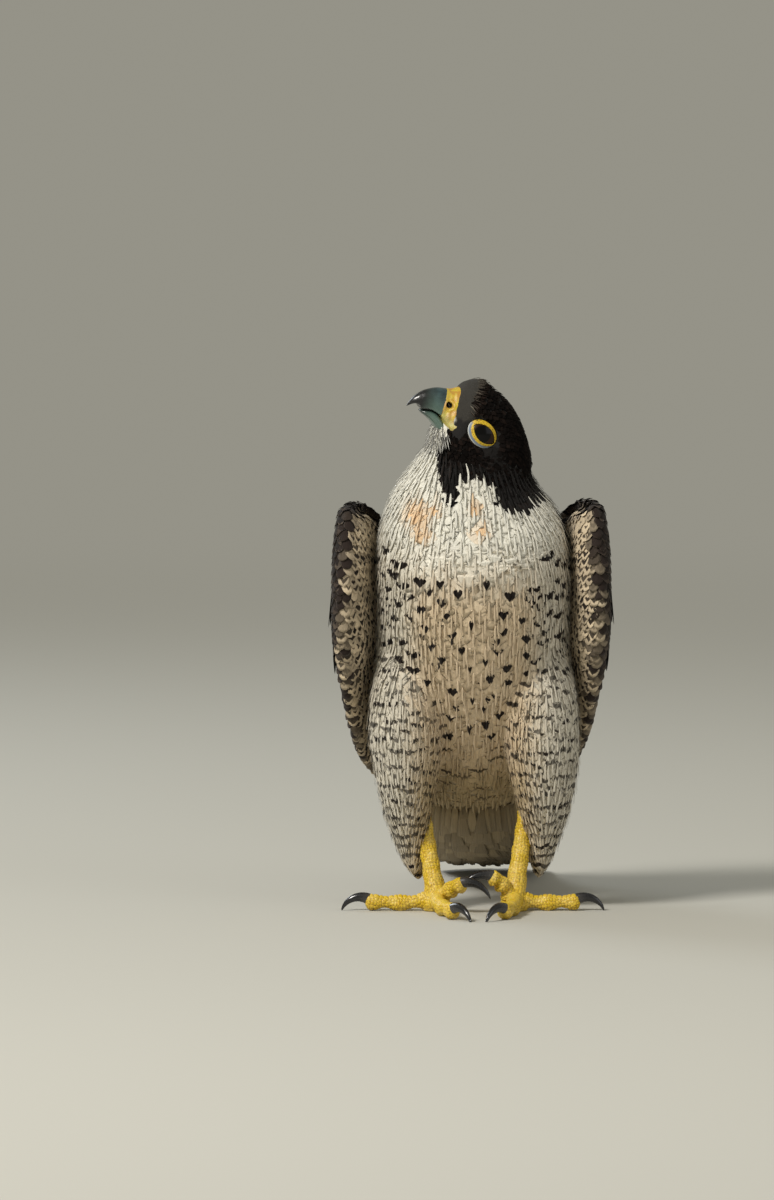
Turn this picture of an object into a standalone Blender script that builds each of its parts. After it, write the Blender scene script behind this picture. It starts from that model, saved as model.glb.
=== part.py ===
"""Peregrine falcon, life size, standing upright with its head turned to its right and raised.

The bird faces -Y, its left side is at +X and the floor is at z = 0. Sizes are in millimetres from the point
between its feet, and place() turns them into metres and sets the origin under the middle of the whole bird.
"""

import bmesh
import bpy
import numpy as np
from mathutils import Matrix, Vector

MM = 0.001
GAP = 0.3
MIDDLE = (0.0, 84.0)  # the middle of the bird's outline on the floor, seen from the point between its feet

# The trunk's stations from tail root to neck: y, z, half-width, depths to the front and back, middle.
TRUNK = np.array([
    (142, 22.3, 8, 2.6, 2.0, 5),
    (126, 28.5, 16, 8, 3.5, 4),
    (105, 40, 25, 16, 8, 3),
    (84, 55, 33, 25, 15, 2),
    (62, 78, 41, 36, 23, 1.5),
    (42, 106, 48, 45, 32, 1.5),
    (25, 138, 51, 53, 39, 1.5),
    (13, 168, 51.5, 57, 42, 1.5),
    (6, 190, 50, 53, 40, 1.0),
    (3, 206, 45.5, 44, 35, 0.0),
    (1, 219, 37.5, 35, 29, -2.0),
    (-1, 231, 30, 28.5, 23, -0.5),
    (-3, 243, 24.5, 24, 16, 2.0),
    (-5, 252, 17, 17, 9, 3.5),
], float)
NECK_FROM = 9.4  # the station where the neck leaves the torso
TRUNK_SQUARE = 2.25  # 2 is an ellipse, more is squarer

# The head: its own axes forward, left and up, its origin between the eyes, and its stations from back
# to front, as forward, half-width, height above and depth below that origin's axis.
HEAD_AT = np.array([1.0, -9.0, 250.5])
HEAD_FORWARD = np.array([-0.67, -0.29, 0.69])
HEAD_UP = np.array([0.70, 0.06, 0.71])
HEAD = np.array([
    (-37, 5, 5, 8),
    (-35, 11, 8.5, 13),
    (-30, 17, 12, 18),
    (-23, 21, 16, 21.5),
    (-15, 23, 19.6, 23),
    (-7, 23.6, 21.8, 23),
    (0, 22.8, 22.5, 22.5),
    (6, 20.8, 21.8, 22),
    (11, 18, 20.6, 21.5),
    (14.5, 15, 18.6, 19.5),
    (16.8, 12, 16, 16.5),
    (18, 9, 12.5, 12.5),
    (18.8, 5.5, 8, 8),
], float)
FOREHEAD_LEAN = 0.25
EYE_RADIUS = 11.5
EYE_DOME = 58  # degrees from the eye's middle to the edge of its dome
EYE_AT = np.array([-1.6, 9.9, -0.3])
EYE_OUT = np.array([0.2, 0.98, 0.0])
LID_RADIUS = 7.9
LID_WIDTH = 1.6
LID_HEIGHT = 1.7
BROW_AT = np.array([1.5, 15.6, 8.6])
BROW_SIZE = np.array([11.0, 5.6, 3.0])

# The upper bill: ridge and cutting edge in the head's mid plane (forward, up), and the half-width.
BILL = np.array([
    (14.0, 11.0, 8.0, -8.5, 9.6),
    (18.7, 8.9, 12.8, -9.0, 9.3),
    (22.0, 6.2, 16.4, -8.4, 8.6),
    (24.8, 3.9, 19.4, -8.0, 7.8),
    (29.1, 0.5, 23.6, -8.9, 6.5),
    (32.3, -3.9, 26.8, -10.7, 5.2),
    (33.5, -6.6, 28.4, -12.6, 4.4),
    (34.1, -8.8, 30.0, -12.0, 3.6),
    (34.5, -11.4, 31.9, -12.9, 2.5),
    (34.3, -14.2, 32.9, -14.8, 1.3),
    (33.8, -16.9, 33.5, -16.8, 0.35),
], float)
CERE_ENDS = 3.0  # the station of BILL where the cere meets the horn
NOSTRIL_AT = np.array([19.6, 9.0, -1.4])
NOSTRIL_RADIUS = 1.6
NOSTRIL_DEPTH = 3.2
SKULL_ROOM = -2.6  # how far inside the head's surface the bill's pieces begin
# The lower bill: middle line, height, half-width.
JAW = np.array([
    (9.0, -13.2, 5.6, 8.6),
    (13.5, -12.3, 5.6, 8.0),
    (18.5, -11.4, 5.4, 7.0),
    (22.5, -11.7, 4.6, 5.6),
    (25.6, -12.8, 3.0, 3.8),
    (27.2, -13.6, 1.0, 1.6),
], float)

# Each thigh from hip to hem: x, y, z, half-width, half-depth; the bird's right one stands at -x.
THIGHS = {
    "left": np.array([
        (33, 16, 150, 8, 12),
        (34, 12, 138, 15, 23),
        (35.5, 8, 116, 19.5, 30),
        (36.5, 7, 92, 20.5, 30.5),
        (37.5, 9, 70, 18.5, 27),
        (38, 12, 50, 14, 20),
        (37.2, 16.5, 34, 9.2, 13),
        (36.2, 19, 23, 5.5, 8.5),
        (35.4, 20, 17.5, 1.6, 4),
    ], float),
    "right": np.array([
        (-30, 16, 150, 8, 12),
        (-31, 12, 138, 15, 23),
        (-32.5, 8, 116, 19.5, 30),
        (-33, 7, 92, 20.5, 30.5),
        (-32.8, 9, 70, 17.5, 26),
        (-32.5, 12, 50, 13.5, 19),
        (-30.8, 16.5, 34, 9.4, 12.5),
        (-28.8, 19, 22, 5.5, 8.5),
        (-27.2, 20, 16.5, 1.6, 4),
    ], float),
}
# Each tarsus from the ankle inside the thigh to the foot, and the radii down it.
ANKLES = {"left": (30.0, 13.0, 58.0), "right": (-26.0, 13.0, 54.0)}
FEET = {"left": (22.5, 0.0, 8.0), "right": (-18.0, 0.0, 8.0)}
TARSUS = (4.4, 4.1, 4.5, 5.6)
# Each toe's middle line from foot to claw, then its claw: bearing from straight ahead towards the bird's
# left, length along its curve, and its slopes at root and tip.
TOES = {
    "left": {
        "outer": ([(22.5, 0, 7), (33, 1.5, 4.7), (44, 1.5, 4.6), (56.5, 1, 5.0)], (88, 16.5, 28, -74)),
        "middle": ([(22.5, -1, 7), (22, -17, 4.8), (19.5, -34, 4.6), (16, -49, 4.9)], (-38, 18, 22, -72)),
        "inner": ([(21, -2, 7), (18, -4, 12), (13.5, -7, 17), (9.5, -9, 18.5)], (-82, 18.5, 16, -60)),
        "hind": ([(22.5, 2, 7), (24, 11, 4.6), (25.5, 23, 4.8)], (172, 18, 24, -76)),
    },
    "right": {
        "outer": ([(-18, 0, 7), (-30, 1, 4.6), (-41, 1.5, 4.4), (-54.5, 1.5, 5.0)], (-88, 16.5, 28, -74)),
        "middle": ([(-18, -1, 7), (-16, -17, 4.8), (-13, -34, 4.6), (-9, -49, 4.9)], (36, 18, 22, -72)),
        "inner": (
            [(-16.5, -2, 7), (-12.5, -8, 10.5), (-8, -14.5, 14.5), (-3.5, -18.5, 15.5)],
            (78, 17.5, 14, -70),
        ),
        "hind": ([(-18, 2, 7), (-19.5, 11, 4.6), (-21, 23, 4.8)], (187, 18, 24, -76)),
    },
}
TOE_RADIUS = 4.0
SCUTE_PITCH = 5.4
SCUTE_RISE = 0.45
CLAW_RADIUS = 2.7
CLAW_SINK = 1.2  # how far inside the toe's end the claw's line begins

# The folded left wing from wrist to tip: distance along it, its front edge and its back edge.
WING = np.array([
    (0, 57, 0, 215.5, 41, 27, 204),
    (10, 62.3, -8, 212.5, 39.5, 36, 200),
    (20, 65.2, -15, 205, 37.5, 44, 195),
    (40, 67.3, -22, 184, 34, 54, 184),
    (60, 68.2, -22, 163, 31, 61, 170),
    (80, 68.3, -17, 143, 28, 67, 155),
    (100, 66.8, -6, 125, 25.5, 74, 139),
    (120, 64, 8, 109, 23, 81, 124),
    (145, 60.0, 27, 91, 20, 91, 108),
    (170, 54.5, 49, 75.5, 16.5, 103, 94),
    (200, 44.5, 76, 62, 12.5, 121, 79),
    (240, 32.5, 112, 49, 9, 147, 61),
    (280, 21.5, 148, 38, 7.5, 176, 45),
    (315, 13.5, 180, 31, 7, 203, 34),
], float)
WING_SHIFT = {"left": np.array([3.0, 0, 1.0]), "right": np.array([-3.0, 0, -0.5])}
WING_ARCH = 12.0
WING_CORE_LENGTH = 176.0
WING_THICK = 19.0
VANE_THICK = 0.52
VANE_BOW = 0.06
# Tiers of vanes: how many, roots from and to, tips from and to (along, across), widths, height over the wing,
# and how many segments each has. The first of each tier is the one nearest the front edge.
TIERS = {
    "primary": (7, (110, 0.20), (128, 0.60), (286, 0.12), (214, 0.90), (19, 19), 1.6, 6),
    "secondary": (6, (72, 0.26), (78, 0.82), (160, 0.32), (176, 0.94), (24, 22), 3.6, 4),
    "greater": (6, (40, 0.24), (40, 0.82), (108, 0.24), (116, 0.90), (23, 22), 4.1, 3),
}
SINK = 2.2  # how far under the wing's face the vanes' roots lie
LONGEST_PRIMARY = 1.0  # the second one from the front
SHINGLE = 0.86  # how far each vane lies over the next, with its own thickness

# The tail: distance along it, y, z of its middle line on the floor side, drift towards the bird's left.
TAIL = np.array([
    (0, 78, 71, 1.5),
    (20, 92, 57, 2.0),
    (45, 111.5, 41.5, 3.5),
    (75, 138, 27, 6.0),
    (110, 170, 14.5, 8.5),
    (150, 208.5, 5.2, 11.5),
    (170, 228.3, 1.9, 13.0),
], float)
TAIL_VANES = 6
TAIL_PITCH = (2.7, 3.6)
TAIL_WIDTH = 15.0
TAIL_SHINGLE = 0.86
# The coverts over the tail's root: distance along it, half-width, half-depth.
TAIL_ROOT = np.array([(4, 18, 8.5), (22, 23, 8), (40, 24, 5.5), (56, 21, 2.2)], float)

COLOURS = {
    "slate": ((0.055, 0.045, 0.042, 1), 0.75),
    "cream": ((0.72, 0.66, 0.56, 1), 0.85),
    "hood": ((0.02, 0.016, 0.015, 1), 0.7),
    "skin": ((0.80, 0.52, 0.03, 1), 0.45),
    "horn": ((0.10, 0.16, 0.19, 1), 0.3),
    "claw": ((0.012, 0.012, 0.014, 1), 0.25),
    "eye": ((0.008, 0.005, 0.004, 1), 0.05),
}


def unit(vector):
    return vector / np.linalg.norm(vector, axis=-1, keepdims=True)


def along(table, where):
    """Rows read from a table at fractional stations, by a Catmull-Rom curve through its rows."""
    where = np.clip(np.asarray(where, float), 0, len(table) - 1)
    first = np.minimum(where.astype(int), len(table) - 2)
    t = (where - first)[..., None]
    padded = np.vstack([2 * table[0] - table[1], table, 2 * table[-1] - table[-2]])
    a, b, c, d = (padded[first + k] for k in range(4))
    return 0.5 * (2 * b + (c - a) * t + (2 * a - 5 * b + 4 * c - d) * t**2 + (3 * b - a - 3 * c + d) * t**3)


def at_distance(table, distance):
    """Rows read from a table whose first column is a distance."""
    station = np.interp(distance, table[:, 0], np.arange(len(table)))
    return along(table[:, 1:], station)


def oval(count, square=2.0):
    """Sine and cosine round an oval, the same number of points at any squareness."""
    turn = np.arange(count) * 2 * np.pi / count
    side, rise = np.cos(turn), np.sin(turn)
    return (np.sign(v) * np.abs(v) ** (2 / square) for v in (side, rise))


def material(name):
    made = bpy.data.materials.get(name)
    if made is None:
        made = bpy.data.materials.new(name)
        made.use_nodes = True
        shader = made.node_tree.nodes["Principled BSDF"]
        colour, roughness = COLOURS[name]
        shader.inputs["Base Color"].default_value = colour
        shader.inputs["Roughness"].default_value = roughness
        shader.inputs["Metallic"].default_value = 0.0
    return made


def place(name, points, faces, finish, home):
    """An object from points in millimetres, moved so that the origin is under the bird's middle."""
    mesh = bpy.data.meshes.new(name)
    shift = np.array([*MIDDLE, 0.0])
    mesh.from_pydata(((np.asarray(points) - shift) * MM).tolist(), [], [tuple(map(int, f)) for f in faces])
    mesh.materials.append(material(finish))
    obj = bpy.data.objects.new(name, mesh)
    home.objects.link(obj)
    return obj


def loft(name, rings, finish, home):
    """A closed solid through rings of points, split into triangles, with a fan over each end."""
    count, size = rings.shape[:2]
    points = np.vstack([rings.reshape(-1, 3), rings[0].mean(0), rings[-1].mean(0)])
    tail, nose = count * size, count * size + 1
    ring, step = np.meshgrid(np.arange(count - 1), np.arange(size), indexing="ij")
    a = (ring * size + step).ravel()
    b = (ring * size + (step + 1) % size).ravel()
    c, d = a + size, b + size
    here = np.arange(size)
    beyond = (here + 1) % size
    last = (count - 1) * size
    faces = np.vstack([
        np.stack([a, b, d], 1),
        np.stack([a, d, c], 1),
        np.stack([beyond, here, np.full(size, tail)], 1),
        np.stack([last + here, last + beyond, np.full(size, nose)], 1),
    ])
    return face_out(place(name, points, faces, finish, home))


def face_out(obj):
    """Turns every face of a closed mesh outwards."""
    shape = bmesh.new()
    shape.from_mesh(obj.data)
    bmesh.ops.recalc_face_normals(shape, faces=shape.faces)
    if shape.calc_volume(signed=True) < 0:
        bmesh.ops.reverse_faces(shape, faces=shape.faces)
    shape.to_mesh(obj.data)
    shape.free()
    return obj


def vane(name, centre, across, out, widths, tilt, finish, home):
    """A feather's vane: an open grid three points across, split into triangles and then given its thickness.

    The edge that faces -across stands higher by the tilt, so that vanes laid side by side shingle.
    """
    rows = len(centre)
    half = widths[:, None] / 2
    tilt = np.broadcast_to(tilt, widths.shape)[:, None]
    bow = VANE_BOW * half
    points = np.stack([
        centre - across * half + out * (tilt * half - bow),
        centre,
        centre + across * half - out * (tilt * half + bow),
    ], 1)
    points = (points - np.array([*MIDDLE, 0.0])) * MM
    shape = bmesh.new()
    bmesh.ops.create_grid(shape, x_segments=2, y_segments=rows - 1, size=1.0)
    for vert in shape.verts:
        row = round((vert.co.y + 1) / 2 * (rows - 1))
        col = round(vert.co.x + 1)
        vert.co = points[row, col]
    bmesh.ops.triangulate(shape, faces=shape.faces)
    upward = sum((face.normal for face in shape.faces), Vector()).dot(Vector(out.mean(0)))
    if upward < 0:
        bmesh.ops.reverse_faces(shape, faces=shape.faces)
    mesh = bpy.data.meshes.new(name)
    shape.to_mesh(mesh)
    shape.free()
    mesh.materials.append(material(finish))
    obj = bpy.data.objects.new(name, mesh)
    home.objects.link(obj)
    shell = obj.modifiers.new("Thickness", "SOLIDIFY")
    shell.thickness = VANE_THICK * MM
    shell.offset = -1.0
    return obj


def stations(count):
    """Where a vane's rows stand along it, closer together towards its tip."""
    return 1 - (1 - np.linspace(0, 1, count + 1)) ** 1.6


def vane_width(where, widest, tip=0.34):
    """A vane's width: narrow at the quill, widest a third of the way, rounded to its tip."""
    root = 0.42 + 0.58 * np.sin(np.clip(where / 0.36, 0, 1) * np.pi / 2)
    end = np.sqrt(np.clip(1 - (np.clip(where - 0.62, 0, 1) / 0.38) ** 2.6, 0, 1))
    return widest * root * (tip + (1 - tip) * end)


def whole(name, pieces, cutters=(), solver="EXACT"):
    """Joins the pieces into one object, cuts the cutters from it, and keeps its largest closed surface."""
    body, others = pieces[0], list(pieces[1:])
    for operation, members in (("UNION", others), ("DIFFERENCE", list(cutters))):
        if not members:
            continue
        group = bpy.data.collections.new(name + operation)
        bpy.context.scene.collection.children.link(group)
        for member in members:
            group.objects.link(member)
        step = body.modifiers.new(operation, "BOOLEAN")
        step.operand_type = "COLLECTION"
        step.collection = group
        step.operation = operation
        step.solver = solver
        graph = bpy.context.evaluated_depsgraph_get()
        made = bpy.data.meshes.new_from_object(body.evaluated_get(graph))
        body.modifiers.clear()
        body.data = made
        for member in members:
            group.objects.unlink(member)
        bpy.data.collections.remove(group)
    for piece in others:
        bpy.data.objects.remove(piece)
    keep_largest(body)
    body.name = name
    return body


def keep_largest(obj):
    """Leaves only the largest closed surface, by volume."""
    shape = bmesh.new()
    shape.from_mesh(obj.data)
    bmesh.ops.triangulate(shape, faces=shape.faces)
    shape.verts.ensure_lookup_table()
    left, islands = set(shape.verts), []
    while left:
        seed = left.pop()
        island, edge = {seed}, [seed]
        while edge:
            for link in edge.pop().link_edges:
                for vert in link.verts:
                    if vert in left:
                        left.discard(vert)
                        island.add(vert)
                        edge.append(vert)
        islands.append(island)
    if len(islands) > 1:
        def volume(island):
            faces = {face for vert in island for face in vert.link_faces}
            return sum(f.verts[0].co.dot(f.verts[1].co.cross(f.verts[2].co)) for f in faces) / 6
        islands.sort(key=volume, reverse=True)
        scraps = [vert for island in islands[1:] for vert in island]
        bmesh.ops.delete(shape, geom=scraps, context="VERTS")
    shape.to_mesh(obj.data)
    shape.free()


def trunk_rings(start, end, count, sides=24, grow=0.0):
    """Rings round the trunk between two stations, square to its spine."""
    where = np.linspace(start, end, count)
    row = along(TRUNK, where)
    ahead = unit(along(TRUNK, where + 0.05)[:, :2] - along(TRUNK, where - 0.05)[:, :2])
    side, rise = oval(sides, TRUNK_SQUARE)
    width = (row[:, 2] + grow)[:, None] * side
    depth = np.where(rise > 0, (row[:, 4] + grow)[:, None], (row[:, 3] + grow)[:, None]) * rise
    back = np.stack([ahead[:, 1], -ahead[:, 0]], 1)
    rings = np.empty((count, sides, 3))
    rings[..., 0] = row[:, 5:] + width
    rings[..., 1] = row[:, 0][:, None] + depth * back[:, 0][:, None]
    rings[..., 2] = row[:, 1][:, None] + depth * back[:, 1][:, None]
    return rings


HEAD_LEFT = np.cross(HEAD_UP, HEAD_FORWARD)
HEAD_AXES = np.stack([unit(HEAD_FORWARD), unit(HEAD_LEFT), unit(np.cross(HEAD_FORWARD, HEAD_LEFT))])


def from_head(points):
    """Points given as forward, left and up of the head, in the bird's own frame."""
    return HEAD_AT + np.asarray(points, float) @ HEAD_AXES


def head_rings(count=18, sides=24, grow=0.0):
    """Rings round the head, square to its forward axis, pressed in round the eyes and full at the cheeks."""
    where = np.linspace(0, len(HEAD) - 1, count)
    row = along(HEAD, where)
    side, rise = oval(sides, 2.15)
    rings = np.empty((count, sides, 3))
    rings[..., 0] = row[:, :1]
    rings[..., 1] = (row[:, 1:2] + grow) * side
    rings[..., 2] = np.where(rise > 0, row[:, 2:3] + grow, row[:, 3:4] + grow) * rise
    rings[..., 0] += FOREHEAD_LEAN * np.clip(row[:, :1] / 16, 0, 1) * np.maximum(rings[..., 2], -8)
    for hand in (1, -1):
        eye = np.array([0.0, hand * 21.0, -0.8])
        near = np.exp(-((((rings - eye) / np.array([10.0, 12.0, 9.0])) ** 2).sum(-1) ** 1.5))
        rings[..., 1] -= hand * 5.0 * near
        cheek = np.array([-3.0, hand * 19.0, -13.0])
        near = np.exp(-(((rings - cheek) / np.array([11.0, 12.0, 8.0])) ** 2).sum(-1))
        rings[..., 1] += hand * 1.5 * near
    return from_head(rings)


def primitive(name, shape, axes, centre, finish, home):
    """An object from a primitive's mesh in millimetres, turned to its own axes and set at its centre."""
    turn = Matrix(np.asarray(axes).T.tolist()).to_4x4()
    spot = (np.asarray(centre, float) - (*MIDDLE, 0)) * MM
    shape.transform(Matrix.Translation(spot) @ turn @ Matrix.Scale(MM, 4))
    bmesh.ops.recalc_face_normals(shape, faces=shape.faces)
    if shape.calc_volume(signed=True) < 0:
        bmesh.ops.reverse_faces(shape, faces=shape.faces)
    mesh = bpy.data.meshes.new(name)
    shape.to_mesh(mesh)
    shape.free()
    mesh.materials.append(material(finish))
    obj = bpy.data.objects.new(name, mesh)
    home.objects.link(obj)
    return obj


def ball(name, centre, radii, axes, finish, home, rings=9, sides=16, floor=None):
    """An ellipsoid with its own axes, from a UV sphere, pressed flat at the floor where one is given."""
    shape = bmesh.new()
    bmesh.ops.create_uvsphere(shape, u_segments=sides, v_segments=rings, radius=1.0)
    shape.transform(Matrix.Diagonal((*radii, 1.0)))
    obj = primitive(name, shape, axes, centre, finish, home)
    if floor is not None:
        press(obj, floor)
    return obj


def press(obj, floor):
    """Raises to the floor every point that lies under it."""
    for vert in obj.data.vertices:
        vert.co.z = max(vert.co.z, floor * MM)


def frame_of(out, near=(0.0, 0.0, 1.0)):
    """Three square axes whose last one is out."""
    out = unit(np.asarray(out, float))
    side = unit(np.cross(near, out))
    return np.stack([side, np.cross(out, side), out])


def ring_piece(name, centre, out, radius, width, height, finish, home):
    """A torus that lies square to out, its section pressed to the height."""
    bpy.ops.mesh.primitive_torus_add(
        major_segments=16, minor_segments=5, major_radius=radius, minor_radius=width)
    made = bpy.context.object
    shape = bmesh.new()
    shape.from_mesh(made.data)
    bpy.data.objects.remove(made)
    shape.transform(Matrix.Diagonal((1.0, 1.0, height / width, 1.0)))
    return primitive(name, shape, frame_of(out), centre, finish, home)


def dome(name, centre, out, radius, finish, home, grow=0.0):
    """The front of an eyeball: a sphere cut off square behind, with the cut filled."""
    shape = bmesh.new()
    bmesh.ops.create_uvsphere(shape, u_segments=16, v_segments=12, radius=radius + grow)
    depth = radius * np.cos(np.radians(EYE_DOME)) - grow
    geometry = shape.verts[:] + shape.edges[:] + shape.faces[:]
    cut = {"plane_co": (0, 0, depth), "plane_no": (0, 0, 1)}
    bmesh.ops.bisect_plane(shape, geom=geometry, clear_inner=True, **cut)
    rim = [edge for edge in shape.edges if edge.is_boundary]
    bmesh.ops.holes_fill(shape, edges=rim)
    return primitive(name, shape, frame_of(out), centre, finish, home)


def eye_spot(hand):
    """The eyeball's centre and the way it looks, on the side that hand names."""
    flip = np.array([1, hand, 1])
    return from_head(EYE_AT * flip), unit((EYE_OUT * flip) @ HEAD_AXES)


def make_head(home, cutters):
    pieces = [loft("head", head_rings(), "hood", home)]
    away = []
    for hand, word in ((1, "left"), (-1, "right")):
        centre, out = eye_spot(hand)
        brow = BROW_AT * np.array([1, hand, 1])
        axes = np.stack([
            unit(HEAD_AXES[0] - 0.24 * hand * HEAD_AXES[1]),
            unit(hand * HEAD_AXES[1] + 0.24 * HEAD_AXES[0]),
            HEAD_AXES[2],
        ])
        pieces.append(ball("brow", from_head(brow), BROW_SIZE, axes, "hood", home, 6, 10))
        away.append(dome("socket", centre, out, EYE_RADIUS, "hood", cutters, GAP))
        lid_at = centre + out * np.sqrt(EYE_RADIUS**2 - LID_RADIUS**2)
        size = (LID_RADIUS, LID_WIDTH + GAP, LID_HEIGHT + GAP)
        away.append(ring_piece("lid_room", lid_at, out, *size, "skin", cutters))
        size = (LID_RADIUS, LID_WIDTH, LID_HEIGHT)
        lid = ring_piece(f"eyelid_{word}", lid_at, out, *size, "skin", home)
        whole(f"eyelid_{word}", [lid], [dome("eye_room", centre, out, EYE_RADIUS, "hood", cutters, GAP)])
        dome(f"eye_{word}", centre, out, EYE_RADIUS, "eye", home)
    away.append(loft("bill_room", bill_rings(0, 6, 7, GAP), "horn", cutters))
    away.append(loft("jaw_room", jaw_rings(GAP), "horn", cutters))
    return whole("head", pieces, away, "MANIFOLD")


def bill_rings(start, end, count, grow=0.0, sides=12):
    """Rings of the upper bill: an arch from one cutting edge over the ridge to the other, closed below."""
    row = along(BILL, np.linspace(start, end, count))
    ridge, edge, half = row[:, 0:2], row[:, 2:4], row[:, 4]
    turn = np.linspace(-0.12 * np.pi, 1.12 * np.pi, sides)
    rise = np.clip(np.sin(turn), -0.02, 1)
    middle = (ridge + edge) / 2
    tall = np.linalg.norm(ridge - edge, axis=1)
    up = (ridge - edge) / tall[:, None]
    spread = np.cos(turn) * (1 - 0.10 * rise)
    rings = np.empty((count, sides, 3))
    lift = (rise - 0.5)[None, :] * (tall + 2 * grow)[:, None]
    rings[..., 0] = middle[:, :1] + lift * up[:, :1]
    rings[..., 2] = middle[:, 1:] + lift * up[:, 1:]
    rings[..., 1] = (half + grow)[:, None] * spread
    return from_head(rings)


def jaw_rings(grow=0.0, sides=10):
    """Rings of the lower bill, flat on top and round below."""
    row = along(JAW, np.linspace(0, len(JAW) - 1, 9))
    side, rise = oval(sides, 2.4)
    rings = np.empty((len(row), sides, 3))
    rings[..., 0] = row[:, :1]
    rings[..., 1] = (row[:, 3:4] + grow) * side
    rings[..., 2] = row[:, 1:2] + (row[:, 2:3] / 2 + grow) * rise
    return from_head(rings)


def make_bill(home, cutters):
    """The cere with its nostrils, the hooked and toothed upper horn, and the lower bill."""
    holes = []
    for hand in (1, -1):
        flip = np.array([1, hand, 1])
        at, out = from_head(NOSTRIL_AT * flip), (np.array([0.22, 1.0, 0.1]) * flip) @ HEAD_AXES
        size = (NOSTRIL_RADIUS, NOSTRIL_RADIUS, NOSTRIL_DEPTH)
        holes.append(ball("nostril", at, size, frame_of(out), "skin", cutters, 8, 12))
    cere = loft("cere", bill_rings(0, CERE_ENDS - 0.03, 7), "skin", home)
    skull = loft("skull_room", head_rings(grow=SKULL_ROOM), "hood", cutters)
    whole("cere", [cere], [*holes, skull])
    loft("bill_upper", bill_rings(CERE_ENDS + 0.04, len(BILL) - 1, 17), "horn", home)
    jaw = loft("bill_lower", jaw_rings(), "horn", home)
    above = loft("bill_above", bill_rings(0, len(BILL) - 1, 24, GAP), "horn", cutters)
    skull = loft("skull_room", head_rings(grow=SKULL_ROOM), "hood", cutters)
    whole("bill_lower", [jaw], [above, skull])


def make_trunk(home, cutters):
    body_end = NECK_FROM - 0.012
    loft("torso", trunk_rings(0, body_end, 18), "cream", home)
    neck = loft("neck", trunk_rings(NECK_FROM + 0.012, len(TRUNK) - 1, 7), "cream", home)
    rooms = [loft("head_room", head_rings(grow=GAP), "hood", cutters)]
    for hand in (1, -1):
        reach = np.full(3, EYE_RADIUS + LID_HEIGHT)
        rooms.append(ball("eye_space", eye_spot(hand)[0], reach, HEAD_AXES, "hood", cutters, 10, 16))
    whole("neck", [neck], rooms)


def thigh_rings(word, grow=0.0, count=12, sides=16):
    """Rings of a feathered thigh, level, from the hip down to its hem."""
    row = along(THIGHS[word], np.linspace(0, len(THIGHS[word]) - 1, count))
    side, rise = oval(sides, 2.1)
    rings = np.empty((count, sides, 3))
    rings[..., 0] = row[:, :1] + (row[:, 3:4] + grow) * side
    rings[..., 1] = row[:, 1:2] + (row[:, 4:5] + grow) * rise
    rings[..., 2] = row[:, 2:3]
    rings[0, :, 2] += grow
    rings[-1, :, 2] -= grow
    return rings


def make_thigh(word, home, cutters):
    body = loft("body_room", trunk_rings(0, NECK_FROM, 18, grow=GAP), "cream", cutters)
    whole(f"thigh_{word}", [loft(f"thigh_{word}", thigh_rings(word), "cream", home)], [body])


def tube(name, path, radii, finish, home, resolution=2, floor=None):
    """A tube of changing radius along a path, from a bevelled curve, pressed flat at the floor."""
    curve = bpy.data.curves.new(name, "CURVE")
    curve.dimensions = "3D"
    curve.bevel_depth = MM
    curve.bevel_resolution = resolution
    curve.use_fill_caps = True
    spline = curve.splines.new("POLY")
    spline.points.add(len(path) - 1)
    for point, spot, radius in zip(spline.points, path - (*MIDDLE, 0), radii):
        point.co = (*(spot * MM), 1.0)
        point.radius = radius
    guide = bpy.data.objects.new(name, curve)
    home.objects.link(guide)
    graph = bpy.context.evaluated_depsgraph_get()
    mesh = bpy.data.meshes.new_from_object(guide.evaluated_get(graph))
    bpy.data.objects.remove(guide)
    bpy.data.curves.remove(curve)
    shape = bmesh.new()
    shape.from_mesh(mesh)
    bmesh.ops.remove_doubles(shape, verts=shape.verts, dist=1e-6)
    bmesh.ops.recalc_face_normals(shape, faces=shape.faces)
    shape.to_mesh(mesh)
    shape.free()
    mesh.materials.clear()
    mesh.materials.append(material(finish))
    obj = bpy.data.objects.new(name, mesh)
    home.objects.link(obj)
    if floor is not None:
        press(obj, floor)
    return obj


def toe_line(word, toe):
    """A toe's middle line from foot to claw, with radii that swell at its pads and ridge at its scutes."""
    knots = np.array(TOES[word][toe][0], float)
    fine = along(knots, np.linspace(0, len(knots) - 1, 60))
    run = np.concatenate([[0], np.cumsum(np.linalg.norm(np.diff(fine, axis=0), axis=1))])
    count = int(round(run[-1] / SCUTE_PITCH)) * 2 + 1
    t = np.linspace(0, 1, count)
    path = np.stack([np.interp(t * run[-1], run, fine[:, k]) for k in range(3)], 1)
    pads = np.sin(np.pi * (t * 2.6 + 0.15)) ** 2
    radii = TOE_RADIUS * (1 - 0.16 * t) * (0.88 + 0.22 * pads)
    radii[1:-1:2] += SCUTE_RISE
    return path, radii


def make_leg(word, home, cutters):
    """Tarsus and four toes in one solid, with a claw at the end of each toe."""
    top, foot = np.array(ANKLES[word]), np.array(FEET[word])
    t = np.linspace(0, 1, 13)
    path = top + (foot - top) * t[:, None]
    path[:, 1] += 2.5 * np.sin(np.pi * t)
    radii = np.interp(t, [0, 0.35, 0.75, 1], TARSUS)
    radii[1:-1:2] += SCUTE_RISE * 0.7
    pieces = [tube(f"leg_{word}", path, radii, "skin", home)]
    pieces.append(ball("sole", foot - (0, 0, 3.4), (7.4, 7.8, 5.4), np.eye(3), "skin", home, 7, 10, 0.0))
    for toe in TOES[word]:
        line, thick = toe_line(word, toe)
        pieces.append(tube("toe_" + toe, line, thick, "skin", home, 2, 0.0))
        make_claw(word, toe, line, thick, home, cutters)
    room = loft("thigh_room", thigh_rings(word, GAP), "cream", cutters)
    return whole(f"leg_{word}", pieces, [room])


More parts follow.
